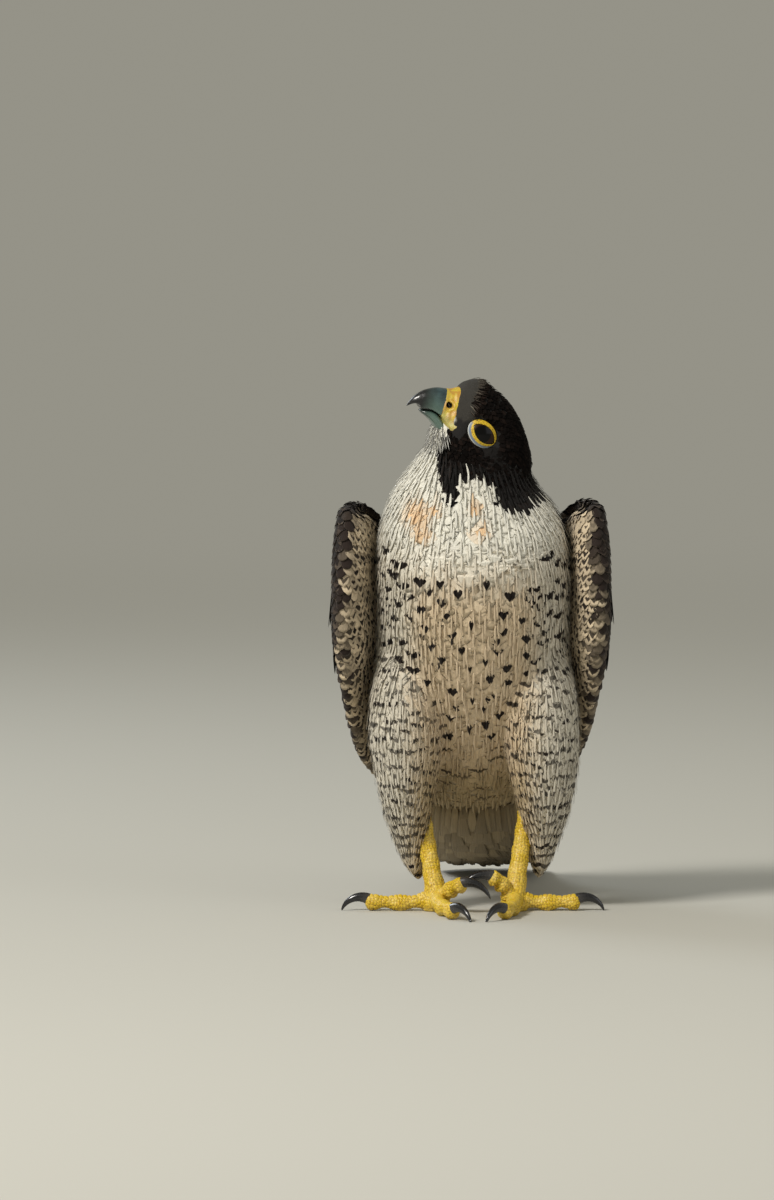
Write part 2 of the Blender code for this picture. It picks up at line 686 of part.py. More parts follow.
def claw_line(word, toe, start):
    """A claw's middle line: an arc in an upright plane that sets out rising and ends pointing down."""
    bearing, length, slope, end = TOES[word][toe][1]
    bearing, slope, end = np.radians((bearing, slope, end))
    level = np.array([np.sin(bearing), -np.cos(bearing), 0.0])
    t = np.linspace(0, 1, 7)
    lean = slope + (end - slope) * t
    radius = length / (slope - end)
    reach = radius * (np.sin(slope) - np.sin(lean))
    climb = radius * (np.cos(lean) - np.cos(slope))
    path = start + level * reach[:, None]
    path[:, 2] += climb
    return path, t


def make_claw(word, toe, line, thick, home, cutters):
    """A claw: a curved cone whose root is cut to the toe's blunt end."""
    ahead = unit(line[-1] - line[-2])
    path, t = claw_line(word, toe, line[-1] - ahead * CLAW_SINK + (0, 0, 0.8))
    radii = CLAW_RADIUS * (1 - t) ** 0.72 + 0.22
    path[:, 2] = np.maximum(path[:, 2], radii + 0.05)
    claw = tube(f"claw_{word}_{toe}", path, radii, "claw", home, 1)
    beyond = np.vstack([line[:-1], line[-1] + ahead * GAP])
    room = tube("toe_room", beyond, thick + GAP, "skin", cutters)
    whole(f"claw_{word}_{toe}", [claw], [room])


def wing_place(distance, across):
    """Points on the folded left wing's outer face, with the way out and the way back from its front edge."""
    def face(s, t):
        edges = at_distance(WING, s)
        lead, trail = edges[..., :3], edges[..., 3:]
        chord = trail - lead
        ahead = at_distance(WING, s + 2)[..., :3] - at_distance(WING, s - 2)[..., :3]
        out = unit(np.cross(ahead, chord))
        full = np.interp(s, [0, 40, 110, 170, 240, 315], [0.75, 1, 1, 0.6, 0.3, 0.15])
        bent = np.clip(t, 0, 1) ** 0.9
        arch = WING_ARCH * full * np.sin(np.pi * bent)
        return lead + chord * t[..., None] + out * arch[..., None]
    s, t = np.broadcast_arrays(np.asarray(distance, float), np.asarray(across, float))
    point = face(s, t)
    down = face(np.minimum(s + 1, 314), t) - face(np.minimum(s, 313) - 1, t)
    back = face(s, t + 0.02) - face(s, t - 0.02)
    out = unit(np.cross(down, back))
    return point, out, unit(back)


def wing_core(home, name):
    """The arm and hand under the feathers: thick and round at the front edge, thin at the back one."""
    distance = np.array([0.5, 3, 8, 16, 30, 50, 72, 95, 118, 140, 158, WING_CORE_LENGTH])
    t = np.array([0.0, 0.05, 0.14, 0.28, 0.46, 0.66, 0.84, 1.0])
    s, across = np.meshgrid(distance, t, indexing="ij")
    outer, out, _ = wing_place(s, across)
    taper = np.interp(distance, [0, 12, 40, 90, 130, 158, 176], [0.35, 0.8, 1.0, 0.95, 0.6, 0.38, 0.22])
    share = np.interp(t, [0, 0.05, 0.14, 0.3, 0.6, 1.0], [0.20, 0.62, 0.94, 1.0, 0.75, 0.30])
    depth = WING_THICK * taper[:, None] * share
    inner = outer - out * depth[..., None]
    inner[:, 0] += (outer[:, 0] - inner[:, 0]) * 0.2
    rings = np.concatenate([outer, inner[:, ::-1]], axis=1)
    shrink = np.interp(distance, [0.5, 3, 8, 16], [0.25, 0.58, 0.84, 1.0])[:, None, None]
    middle = rings.mean(1, keepdims=True)
    return loft(name, middle + (rings - middle) * shrink, "slate", home)


def tier_vanes(tier, home):
    """One tier of overlapping vanes on the wing, from its front edge to its back."""
    count, root_a, root_b, tip_a, tip_b, widths, height, segments = TIERS[tier]
    share = np.linspace(0, 1, count)
    root = np.outer(1 - share, root_a) + np.outer(share, root_b)
    tip = np.outer(1 - share, tip_a) + np.outer(share, tip_b)
    if tier == "primary":
        rank = share * (count - 1)
        tip[:, 0] = 300 - 12 * np.abs(rank - LONGEST_PRIMARY) ** 1.12 - 4 * (rank < LONGEST_PRIMARY)
    wide = np.interp(share, [0, 1], widths)
    v = stations(segments)
    made = []
    for k in range(count):
        s = root[k, 0] + (tip[k, 0] - root[k, 0]) * v
        t = root[k, 1] + (tip[k, 1] - root[k, 1]) * v**0.85
        point, out, back = wing_place(s, t)
        near = 1 if k == 0 else k - 1
        step = root[near] + (tip[near] - root[near]) * v[:, None]
        pitch = np.linalg.norm(wing_place(s, step[:, 1])[0] - point, axis=1)
        tilt = np.clip(SHINGLE / np.maximum(pitch, 1.5), 0.05, 0.30)
        rise = -SINK + (height * (0.75 + 0.25 * share[k]) + SINK) * v**1.3
        ahead = unit(np.gradient(point, axis=0))
        across = unit(np.cross(ahead, out))
        across *= np.sign((across * back).sum(-1, keepdims=True))
        centre = point + out * rise[:, None]
        tip_share = 0.30 if tier == "primary" else 0.42
        width = vane_width(v, wide[k], tip_share)
        made.append(vane(f"{tier}_{k}", centre, across, out, width, tilt, "slate", home))
    return made


def make_wing(word, home, cutters):
    """Core, flight feathers and coverts of one wing; the right one mirrors the left in the body's middle."""
    pieces = [wing_core(home, f"wing_{word}")]
    for tier in TIERS:
        pieces += tier_vanes(tier, home)
    for piece in pieces:
        if word == "right":
            mirror(piece)
        piece.data.transform(Matrix.Translation(WING_SHIFT[word] * MM))
    rooms = [loft("body_room", trunk_rings(0, NECK_FROM + 3, 24, grow=GAP), "cream", cutters)]
    rooms.append(loft("thigh_room", thigh_rings(word, GAP), "cream", cutters))
    return whole(f"wing_{word}", pieces, rooms, "MANIFOLD")


def mirror(obj):
    """Turns a piece over in the upright plane between the feet."""
    middle = -MIDDLE[0] * MM
    for vert in obj.data.vertices:
        vert.co.x = 2 * middle - vert.co.x
    obj.data.flip_normals()


def tail_place(distance, sideways):
    """Points on the tail's lower face, with the way up."""
    row = at_distance(TAIL, distance)
    step = at_distance(TAIL, distance + 1) - at_distance(TAIL, np.asarray(distance) - 1)
    ahead = unit(np.stack([step[..., 2], step[..., 0], step[..., 1]], -1))
    side = unit(np.cross(ahead, (0, 0, 1.0)) * (1, 1, 0))
    side *= np.sign(side[..., :1])
    point = np.stack([row[..., 2], row[..., 0], row[..., 1]], -1) + side * np.asarray(sideways)[..., None]
    return point, unit(np.cross(side, ahead)), side


def make_tail(home, cutters):
    """A root of coverts with twelve rudder vanes, the middle pair on top."""
    row = at_distance(np.column_stack([TAIL_ROOT[:, 0], TAIL_ROOT]), np.linspace(4, 60, 7))
    side, rise = oval(16, 2.3)
    middle, up, across = tail_place(row[:, 0], np.zeros(len(row)))
    rings = (
        (middle + up * 3.0)[:, None]
        + across[:, None] * (row[:, 1:2] * side)[..., None]
        + up[:, None] * (row[:, 2:3] * rise)[..., None]
    )
    pieces = [loft("tail", rings, "slate", home)]
    v = stations(5)
    for hand in (1, -1):
        for rank in range(TAIL_VANES):
            length = 170 - 0.9 * rank - 0.35 * rank**2
            distance = 24 + (length - 24) * v
            pitch = np.interp(v, [0, 1], TAIL_PITCH)
            widths = vane_width(0.25 + 0.75 * v, TAIL_WIDTH, 0.45)
            swell = np.interp(v, [0, 0.3, 1], [0.6, 0.95, 1.0])
            sideways = hand * (0.4 + TAIL_WIDTH / 2 * swell + pitch * rank)
            point, up, side = tail_place(distance, sideways)
            tilt = TAIL_SHINGLE / pitch
            height = 1.2 + tilt * widths / 2 + 0.10 * (TAIL_VANES - rank) * (1 - v)
            centre = point + up * height[:, None]
            pieces.append(vane(f"rudder_{rank}", centre, side * hand, up, widths, tilt, "slate", home))
    rooms = [loft("body_room", trunk_rings(0, NECK_FROM, 22, grow=GAP), "cream", cutters)]
    return whole("tail", pieces, rooms)


def main():
    for obj in list(bpy.data.objects):
        bpy.data.objects.remove(obj)
    home = bpy.data.collections.new("peregrine_falcon")
    cutters = bpy.data.collections.new("cutters")
    for group in (home, cutters):
        bpy.context.scene.collection.children.link(group)
    make_trunk(home, cutters)
    make_head(home, cutters)
    make_bill(home, cutters)
    for word in ("left", "right"):
        make_thigh(word, home, cutters)
        make_leg(word, home, cutters)
        make_wing(word, home, cutters)
    make_tail(home, cutters)
    for obj in cutters.objects:
        obj.hide_render = True
        obj.display_type = "WIRE"
    for obj in home.objects:
        obj.data.shade_smooth()
        obj.data.set_sharp_from_angle(angle=0.7)


main()
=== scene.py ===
"""Looks of a life-size peregrine falcon: skin, plumage, bill, eyes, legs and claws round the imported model.

Shapes are worked out in millimetres from the point between the feet, with the bird facing -Y and its left
side at +X. The piece functions turn them into metres and move the origin under the middle of the bird.
"""

import bpy
import numpy as np
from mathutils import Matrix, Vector


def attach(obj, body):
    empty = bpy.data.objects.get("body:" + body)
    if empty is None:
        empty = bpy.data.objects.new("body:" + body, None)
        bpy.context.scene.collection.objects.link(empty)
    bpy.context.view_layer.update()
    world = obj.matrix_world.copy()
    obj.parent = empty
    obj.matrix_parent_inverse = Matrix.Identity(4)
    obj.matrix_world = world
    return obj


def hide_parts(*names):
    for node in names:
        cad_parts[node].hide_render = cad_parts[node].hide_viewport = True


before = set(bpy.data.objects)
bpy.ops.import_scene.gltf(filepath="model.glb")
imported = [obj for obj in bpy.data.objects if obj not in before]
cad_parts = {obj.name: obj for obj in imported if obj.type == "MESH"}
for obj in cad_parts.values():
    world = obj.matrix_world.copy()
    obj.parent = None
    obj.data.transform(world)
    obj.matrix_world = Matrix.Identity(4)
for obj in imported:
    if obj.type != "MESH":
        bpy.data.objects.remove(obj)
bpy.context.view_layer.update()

MM = 0.001
MIDDLE = np.array([0.0, 84.0, 0.0])
BODY = "root"
draw = np.random.default_rng(11)

# The trunk's stations from tail root to neck: y, z, half-width, depth to the front, depth to the back, and x
# of the middle.
TRUNK = np.array([
    (142, 22.3, 8, 2.6, 2.0, 5),
    (126, 28.5, 16, 8, 3.5, 4),
    (105, 40, 25, 16, 8, 3),
    (84, 55, 33, 25, 15, 2),
    (62, 78, 41, 36, 23, 1.5),
    (42, 106, 48, 45, 32, 1.5),
    (25, 138, 51, 53, 39, 1.5),
    (13, 168, 51.5, 57, 42, 1.5),
    (6, 190, 50, 53, 40, 1.0),
    (3, 206, 45.5, 44, 35, 0.0),
    (1, 219, 37.5, 35, 29, -2.0),
    (-1, 231, 30, 28.5, 23, -0.5),
    (-3, 243, 24.5, 24, 16, 2.0),
    (-5, 252, 17, 17, 9, 3.5),
], float)
TRUNK_SQUARE = 2.25

# The head's own axes, its origin between the eyes, and its stations from back to front: forward, half-width,
# height above and depth below that origin's axis.
HEAD_AT = np.array([1.0, -9.0, 250.5])
HEAD_FORWARD = np.array([-0.67, -0.29, 0.69])
HEAD_UP = np.array([0.70, 0.06, 0.71])
HEAD = np.array([
    (-37, 5, 5, 8),
    (-35, 11, 8.5, 13),
    (-30, 17, 12, 18),
    (-23, 21, 16, 21.5),
    (-15, 23, 19.6, 23),
    (-7, 23.6, 21.8, 23),
    (0, 22.8, 22.5, 22.5),
    (6, 20.8, 21.8, 22),
    (11, 18, 20.6, 21.5),
    (14.5, 15, 18.6, 19.5),
    (16.8, 12, 16, 16.5),
    (18, 9, 12.5, 12.5),
    (18.8, 5.5, 8, 8),
], float)
HEAD_SQUARE = 2.15
FOREHEAD_LEAN = 0.25
EYE_RADIUS = 11.5
EYE_DOME = 60
EYE_AT = np.array([-1.6, 9.9, -0.3])
EYE_OUT = np.array([0.2, 0.98, 0.0])

# The upper bill: ridge and cutting edge in the head's mid plane, each as forward and up, and the half-width
# between them.
BILL = np.array([
    (14.0, 11.0, 8.0, -8.5, 9.6),
    (18.7, 8.9, 12.8, -9.0, 9.3),
    (22.0, 6.2, 16.4, -8.4, 8.6),
    (24.8, 3.9, 19.4, -8.0, 7.8),
    (29.1, 0.5, 23.6, -8.9, 6.5),
    (32.3, -3.9, 26.8, -10.7, 5.2),
    (33.5, -6.6, 28.4, -12.6, 4.4),
    (34.1, -8.8, 30.0, -12.0, 3.6),
    (34.5, -11.4, 31.9, -12.9, 2.5),
    (34.3, -14.2, 32.9, -14.8, 1.3),
    (33.8, -16.9, 33.5, -16.8, 0.35),
], float)
CERE_ENDS = 3.0
NOSTRIL_AT = np.array([19.6, 9.0, -1.4])
NOSTRIL_RADIUS = 1.6
# The lower bill: forward, up, full height and half-width.
JAW = np.array([
    (9.0, -13.2, 5.6, 8.6),
    (13.5, -12.3, 5.6, 8.0),
    (18.5, -11.4, 5.4, 7.0),
    (22.5, -11.7, 4.6, 5.6),
    (25.6, -12.8, 3.0, 3.8),
    (27.2, -13.6, 1.0, 1.6),
], float)
JAW_SQUARE = 2.4

# Each thigh from hip to hem: x, y, z, half-width, half-depth.
THIGHS = {
    "left": np.array([
        (33, 16, 150, 8, 12),
        (34, 12, 138, 15, 23),
        (35.5, 8, 116, 19.5, 30),
        (36.5, 7, 92, 20.5, 30.5),
        (37.5, 9, 70, 18.5, 27),
        (38, 12, 50, 14, 20),
        (37.2, 16.5, 34, 9.2, 13),
        (36.2, 19, 23, 5.5, 8.5),
        (35.4, 20, 17.5, 1.6, 4),
    ], float),
    "right": np.array([
        (-30, 16, 150, 8, 12),
        (-31, 12, 138, 15, 23),
        (-32.5, 8, 116, 19.5, 30),
        (-33, 7, 92, 20.5, 30.5),
        (-32.8, 9, 70, 17.5, 26),
        (-32.5, 12, 50, 13.5, 19),
        (-30.8, 16.5, 34, 9.4, 12.5),
        (-28.8, 19, 22, 5.5, 8.5),
        (-27.2, 20, 16.5, 1.6, 4),
    ], float),
}
THIGH_SQUARE = 2.1
ANKLES = {"left": (30.0, 13.0, 58.0), "right": (-26.0, 13.0, 54.0)}
FEET = {"left": (22.5, 0.0, 8.0), "right": (-18.0, 0.0, 8.0)}
TARSUS = (4.4, 4.1, 4.5, 5.6)
# Each toe's middle line from foot to claw, and its claw: bearing to the left of straight ahead, length, and
# slope at its root and at its tip, in degrees.
TOES = {
    "left": {
        "outer": ([(22.5, 0, 7), (33, 1.5, 4.7), (44, 1.5, 4.6), (56.5, 1, 5.0)], (88, 16.5, 28, -74)),
        "middle": ([(22.5, -1, 7), (22, -17, 4.8), (19.5, -34, 4.6), (16, -49, 4.9)], (-38, 18, 22, -72)),
        "inner": ([(21, -2, 7), (18, -4, 12), (13.5, -7, 17), (9.5, -9, 18.5)], (-82, 18.5, 16, -60)),
        "hind": ([(22.5, 2, 7), (24, 11, 4.6), (25.5, 23, 4.8)], (172, 18, 24, -76)),
    },
    "right": {
        "outer": ([(-18, 0, 7), (-30, 1, 4.6), (-41, 1.5, 4.4), (-54.5, 1.5, 5.0)], (-88, 16.5, 28, -74)),
        "middle": ([(-18, -1, 7), (-16, -17, 4.8), (-13, -34, 4.6), (-9, -49, 4.9)], (36, 18, 22, -72)),
        "inner": (
            [(-16.5, -2, 7), (-12.5, -8, 10.5), (-8, -14.5, 14.5), (-3.5, -18.5, 15.5)],
            (78, 17.5, 14, -70),
        ),
        "hind": ([(-18, 2, 7), (-19.5, 11, 4.6), (-21, 23, 4.8)], (187, 18, 24, -76)),
    },
}
TOE_RADIUS = 4.0
CLAW_RADIUS = 2.7
CLAW_SINK = 1.2

# The folded wing from wrist to tip: distance along it, its front edge and its back edge, on the bird's left
# side.
WING = np.array([
    (0, 57, 0, 215.5, 41, 27, 204),
    (10, 62.3, -8, 212.5, 39.5, 36, 200),
    (20, 65.2, -15, 205, 37.5, 44, 195),
    (40, 67.3, -22, 184, 34, 54, 184),
    (60, 68.2, -22, 163, 31, 61, 170),
    (80, 68.3, -17, 143, 28, 67, 155),
    (100, 66.8, -6, 125, 25.5, 74, 139),
    (120, 64, 8, 109, 23, 81, 124),
    (145, 60.0, 27, 91, 20, 91, 108),
    (170, 54.5, 49, 75.5, 16.5, 103, 94),
    (200, 44.5, 76, 62, 12.5, 121, 79),
    (240, 32.5, 112, 49, 9, 147, 61),
    (280, 21.5, 148, 38, 7.5, 176, 45),
    (315, 13.5, 180, 31, 7, 203, 34),
], float)
WING_SHIFT = {"left": np.array([3.0, 0, 1.0]), "right": np.array([-3.0, 0, -0.5])}
WING_HAND = {"left": np.array([1, 1, 1]), "right": np.array([-1, 1, 1])}
WING_ARCH = 12.0
WING_THICK = 19.0
LONGEST_PRIMARY = 1.0
# The folded tail's lower face: distance along it, y, z, and x of the outer edge.
TAIL = np.array([
    (0, 78, 71, 1.5),
    (20, 92, 57, 2.0),
    (45, 111.5, 41.5, 3.5),
    (75, 138, 27, 6.0),
    (110, 170, 14.5, 8.5),
    (150, 208.5, 5.2, 11.5),
    (170, 228.3, 1.9, 13.0),
], float)
TAIL_VANES = 6
TAIL_PITCH = (2.7, 3.6)
TAIL_WIDTH = 15.0


def unit(vector):
    """Each vector divided by its length."""
    return vector / np.maximum(np.linalg.norm(vector, axis=-1, keepdims=True), 1e-9)


def dot(a, b):
    """The sum of a * b over the last axis, which is kept."""
    return (a * b).sum(-1, keepdims=True)


def step(value, low, high):
    """A smooth step from 0 at low to 1 at high."""
    t = np.clip((value - low) / (high - low), 0, 1)
    return t * t * (3 - 2 * t)


def along(table, where):
    """Rows read from a table at fractional stations, by a Catmull-Rom curve through its rows."""
    where = np.clip(np.asarray(where, float), 0, len(table) - 1)
    first = np.minimum(where.astype(int), len(table) - 2)
    t = (where - first)[..., None]
    padded = np.vstack([2 * table[0] - table[1], table, 2 * table[-1] - table[-2]])
    a, b, c, d = (padded[first + k] for k in range(4))
    return 0.5 * (2 * b + (c - a) * t + (2 * a - 5 * b + 4 * c - d) * t**2 + (3 * b - a - 3 * c + d) * t**3)


def at_distance(table, distance):
    """Rows read from a table whose first column is a distance."""
    return along(table[:, 1:], np.interp(distance, table[:, 0], np.arange(len(table))))


HEAD_LEFT = np.cross(HEAD_UP, HEAD_FORWARD)
HEAD_AXES = np.stack([unit(HEAD_FORWARD), unit(HEAD_LEFT), unit(np.cross(HEAD_FORWARD, HEAD_LEFT))])


def from_head(points):
    """Points given as forward, left and up of the head, in the bird's own frame."""
    return HEAD_AT + np.asarray(points, float) @ HEAD_AXES


def to_head(points):
    """Points in the bird's own frame given as forward, left and up of the head."""
    return (points - HEAD_AT) @ HEAD_AXES.T


def oval_gap(side, rise, half, up, down, square):
    """Distance from an oval's middle less the oval's reach that way: (|cos/half|^n + |sin/tall|^n)^(-1/n)."""
    span = np.maximum(np.hypot(side, rise), 1e-6)
    tall = np.where(rise > 0, up, down)
    reach = ((np.abs(side) / span / half) ** square + (np.abs(rise) / span / tall) ** square) ** (-1 / square)
    return span - reach


def capped(gap, beyond):
    """A gap round a lofted form, rounded over its open ends; beyond is how far a point passes them."""
    return np.where(beyond > 0, np.hypot(np.maximum(gap, 0), beyond), gap)


SPINE_AT = np.linspace(0, len(TRUNK) - 1, 200)
SPINE = along(TRUNK, SPINE_AT)[:, :2]
SPINE_RUN = np.gradient(SPINE, SPINE_AT, axis=0)
SPINE_AHEAD = unit(SPINE_RUN)


def trunk_place(p):
    """For each point: the station whose ring holds it, the ring's row, the spine's way ahead there, and
    how far the point lies to the back of the middle line and past the ends."""
    nearest = np.empty(len(p), int)
    for start in range(0, len(p), 20000):
        part = slice(start, start + 20000)
        far = (p[part, 1, None] - SPINE[:, 0]) ** 2 + (p[part, 2, None] - SPINE[:, 1]) ** 2
        nearest[part] = far.argmin(1)
    offset = p[:, 1:] - SPINE[nearest]
    ahead = SPINE_AHEAD[nearest]
    slip = (offset * ahead).sum(1) / np.linalg.norm(SPINE_RUN[nearest], axis=1)
    station = SPINE_AT[nearest] + slip
    inside = np.clip(station, 0, len(TRUNK) - 1)
    row = along(TRUNK, inside)
    offset = p[:, 1:] - row[:, :2]
    back = offset[:, 0] * ahead[:, 1] - offset[:, 1] * ahead[:, 0]
    beyond = np.abs(station - inside) * np.linalg.norm(SPINE_RUN[nearest], axis=1)
    return inside, row, ahead, back, beyond


def trunk_gap(p):
    """How far points lie outside the trunk and neck."""
    _, row, _, back, beyond = trunk_place(p)
    gap = oval_gap(p[:, 0] - row[:, 5], back, row[:, 2], row[:, 4], row[:, 3], TRUNK_SQUARE)
    return capped(gap, beyond)


def head_gap(p):
    """As trunk_gap for the head, pressed in round the eyes and raised at the cheeks and brows."""
    f, l, u = to_head(p).T
    low = np.maximum(u, -8)
    row_at = np.where(f > 0, f / (1 + FOREHEAD_LEAN * low / 16), f)
    row_at = np.where(row_at > 16, f - FOREHEAD_LEAN * low, row_at)
    row = along(HEAD, np.interp(row_at, HEAD[:, 0], np.arange(len(HEAD))))
    gap = oval_gap(l, u, row[:, 1], row[:, 2], row[:, 3], HEAD_SQUARE)
    beyond = np.maximum(HEAD[0, 0] - row_at, row_at - HEAD[-1, 0])
    gap = capped(gap, beyond)
    side = np.abs(l)
    socket = (f / 10) ** 2 + ((side - 21) / 12) ** 2 + ((u + 0.8) / 9) ** 2
    cheek = ((f + 3) / 11) ** 2 + ((side - 19) / 12) ** 2 + ((u + 13) / 8) ** 2
    brow = ((f - 1.5) / 9) ** 2 + ((side - 17) / 6) ** 2 + ((u - 9.5) / 3.5) ** 2
    return gap + 5.0 * np.exp(-(socket**1.5)) - 1.5 * np.exp(-cheek) - 1.6 * np.exp(-brow)


def thigh_gap(p, word):
    """How far points lie outside one thigh, from its oval at their own height."""
    table = THIGHS[word]
    row = along(table, np.interp(-p[:, 2], -table[:, 2], np.arange(len(table))))
    gap = oval_gap(p[:, 0] - row[:, 0], p[:, 1] - row[:, 1], row[:, 3], row[:, 4], row[:, 4], THIGH_SQUARE)
    return capped(gap, np.maximum(p[:, 2] - table[0, 2], table[-1, 2] - p[:, 2]))


def melt(a, b, width):
    """The smaller of two gaps, rounded over the given width where they meet."""
    share = np.clip(0.5 + 0.5 * (b - a) / width, 0, 1)
    return b * (1 - share) + a * share - width * share * (1 - share)


# Soft swellings of the breast's plumage: x, z, half-width, half-height and how far they rise.
PUFFS = np.array([
    (14.3, 177, 13, 8.5, 2.0), (-23, 177, 14, 7, 1.6), (-43, 179, 7, 8, 1.3), (-7, 187, 8, 7, 1.3),
    (6, 194, 8, 6, 1.2), (29, 196, 12, 8, 1.5), (-42, 199, 8, 9, 1.2), (-28, 202, 6, 8, 1.2),
    (-14, 203, 7, 6, 1.0), (16, 206, 9, 5, 1.2), (38, 178, 8, 10, 1.0), (-4, 170, 6, 8, 0.8),
    (-22, 221, 6, 9, 0.9), (-12, 213, 7, 6, 0.9), (2, 213, 6, 6, 0.8),
])


def puff(p):
    """How far the swellings rise over the form at each point, and nothing on the back."""
    far = (p[:, None, [0, 2]] - PUFFS[:, :2]) / PUFFS[:, 2:4]
    return (PUFFS[:, 4] * np.exp(-((far**2).sum(-1)) ** 1.4)).sum(1) * step(-p[:, 1], 4, 26)


def body_gap(p):
    """The gap of the whole fleshy body: trunk with neck, head and both thighs, melted into one form."""
    gap = melt(trunk_gap(p) - puff(p), head_gap(p), 7.0)
    for word in THIGHS:
        gap = melt(gap, thigh_gap(p, word), 6.0)
    return gap


PROBE = 0.35


def ground(p, depth, rounds=1):
    """Moves points onto the body's form at a depth under its surface; gives them and the way out there."""
    for _ in range(rounds):
        here = body_gap(p)
        slope = np.stack([(body_gap(p + PROBE * axis) - here) / PROBE for axis in np.eye(3)], 1)
        steep = np.maximum((slope**2).sum(1), 0.3)
        deep = depth(p) if callable(depth) else depth
        move = np.clip((here + deep) / steep, -6, 6)
        p = p - slope * move[:, None]
    return p, unit(slope)


# Colours of the plumage, as linear red, green and blue.
WHITE = np.array([0.80, 0.775, 0.69])
BUFF = np.array([0.64, 0.51, 0.35])
SILVER = np.array([0.66, 0.61, 0.51])
PEACH = np.array([0.80, 0.52, 0.27])
VENT = np.array([0.50, 0.39, 0.23])
HOOD = np.array([0.0042, 0.0031, 0.0027])
SLATE = np.array([0.050, 0.043, 0.042])
LORES = np.array([0.20, 0.18, 0.145])
CHIN = np.array([0.42, 0.41, 0.38])
BROWN = np.array([0.022, 0.014, 0.011])
CREAM = np.array([0.62, 0.53, 0.40])

# The hood's edge on the side that the bird shows, as x and z, from the forehead round the moustache, the
# cheek and the hind neck, and closed outside the bird.
HOOD_EDGE = np.array([
    (-10.0, 300), (-9.6, 277), (-8.0, 272), (-6.0, 266), (-5.5, 261), (-6.5, 257), (-9.0, 253.5),
    (-11.5, 250), (-12.6, 246.5), (-15.2, 242), (-17.4, 236), (-17.9, 229.5), (-16.7, 222.8), (-13.8, 216),
    (-10.2, 211.8),
    (-7.0, 216.6), (-7.9, 222.0), (-4.2, 224), (1.0, 224.6), (6.2, 222.6), (10.5, 221.2), (13.6, 219.6),
    (12.6, 215.6), (10.6, 211.6), (14.5, 207.4), (20, 205.2), (26.3, 205.2), (31, 208.4), (35.5, 211.7),
    (41, 213), (50, 208), (75, 208), (75, 300),
])
# The peach patches: x, z and size.
PEACH_AT = np.array([(-28, 205, 6.5), (-25.5, 195, 4.5), (-19, 207.5, 3.0), (2, 209, 3.2), (4.5, 197, 4.0)])


def edge_gap(points, edge):
    """Signed distance of flat points from a closed outline: less than 0 inside."""
    start, end = edge, np.roll(edge, -1, axis=0)
    span = end - start
    offset = points[:, None] - start
    share = np.clip((offset * span).sum(-1) / (span**2).sum(-1), 0, 1)
    far = np.linalg.norm(offset - share[..., None] * span, axis=-1).min(1)
    above = (start[:, 1] > points[:, 1, None]) != (end[:, 1] > points[:, 1, None])
    rise = np.where(span[:, 1] == 0, 1e-9, span[:, 1])
    cross = points[:, 0, None] < span[:, 0] * (points[:, 1, None] - start[:, 1]) / rise + start[:, 0]
    inside = (above & cross).sum(1) % 2 == 1
    return np.where(inside, -far, far)


def hood_gap(p):
    """How far points lie outside the hood: the shown side's outline, its mirror image and the nape."""
    own = to_head(p)
    turned = from_head(own * np.array([1, -1, 1]))
    shown = np.where(own[:, 1:2] < 0, turned, p)
    low = step(p[:, 2], 214, 226)[:, None]
    shown = shown * low + p * (1 - low)
    gap = edge_gap(shown[:, [0, 2]], HOOD_EDGE)
    nape = np.interp(p[:, 0], [-45, -15, 10, 45], [13, 9, 3, -4]) - trunk_place(p)[3]
    return np.minimum(gap, nape)


def plumage(p):
    """Base colour of the coat at each point, from its height, side, depth and the hood's outline."""
    x, y, z = p.T
    _, row, _, back, _ = trunk_place(p)
    side = np.abs(x - row[:, 5])
    low = step(z, 192, 158)[:, None]
    tint = WHITE * (1 - low) + BUFF * low
    flank = (step(side, 22, 40) * step(z, 200, 170))[:, None]
    tint = tint * (1 - flank) + SILVER * flank
    vent = step(z, 86, 60)[:, None] * step(side, 34, 22)[:, None]
    tint = tint * (1 - vent) + VENT * vent
    for px, pz, size in PEACH_AT:
        near = np.exp(-(((x - px) ** 2 + (z - pz) ** 2) / size**2) ** 1.5)[:, None] * (y < 0)[:, None]
        tint = tint * (1 - 0.85 * near) + PEACH * 0.85 * near
    dorsal = step(back, 4, 12)[:, None] * step(z, 214, 204)[:, None]
    tint = tint * (1 - dorsal) + SLATE * dorsal
    return tint


# Meshes


def closed_grid(rows, columns):
    """Quads of a tube of rows by columns, closed round each row, and strips of quads over both ends."""
    row, column = np.meshgrid(np.arange(rows - 1), np.arange(columns), indexing="ij")
    a = (row * columns + column).ravel()
    b = (row * columns + (column + 1) % columns).ravel()
    sides = np.stack([a, b, b + columns, a + columns], 1)
    k = np.arange(columns // 2 - 1)
    end = np.stack([k, k + 1, columns - 2 - k, columns - 1 - k], 1)
    return np.concatenate([sides, end[:, ::-1], end + (rows - 1) * columns])


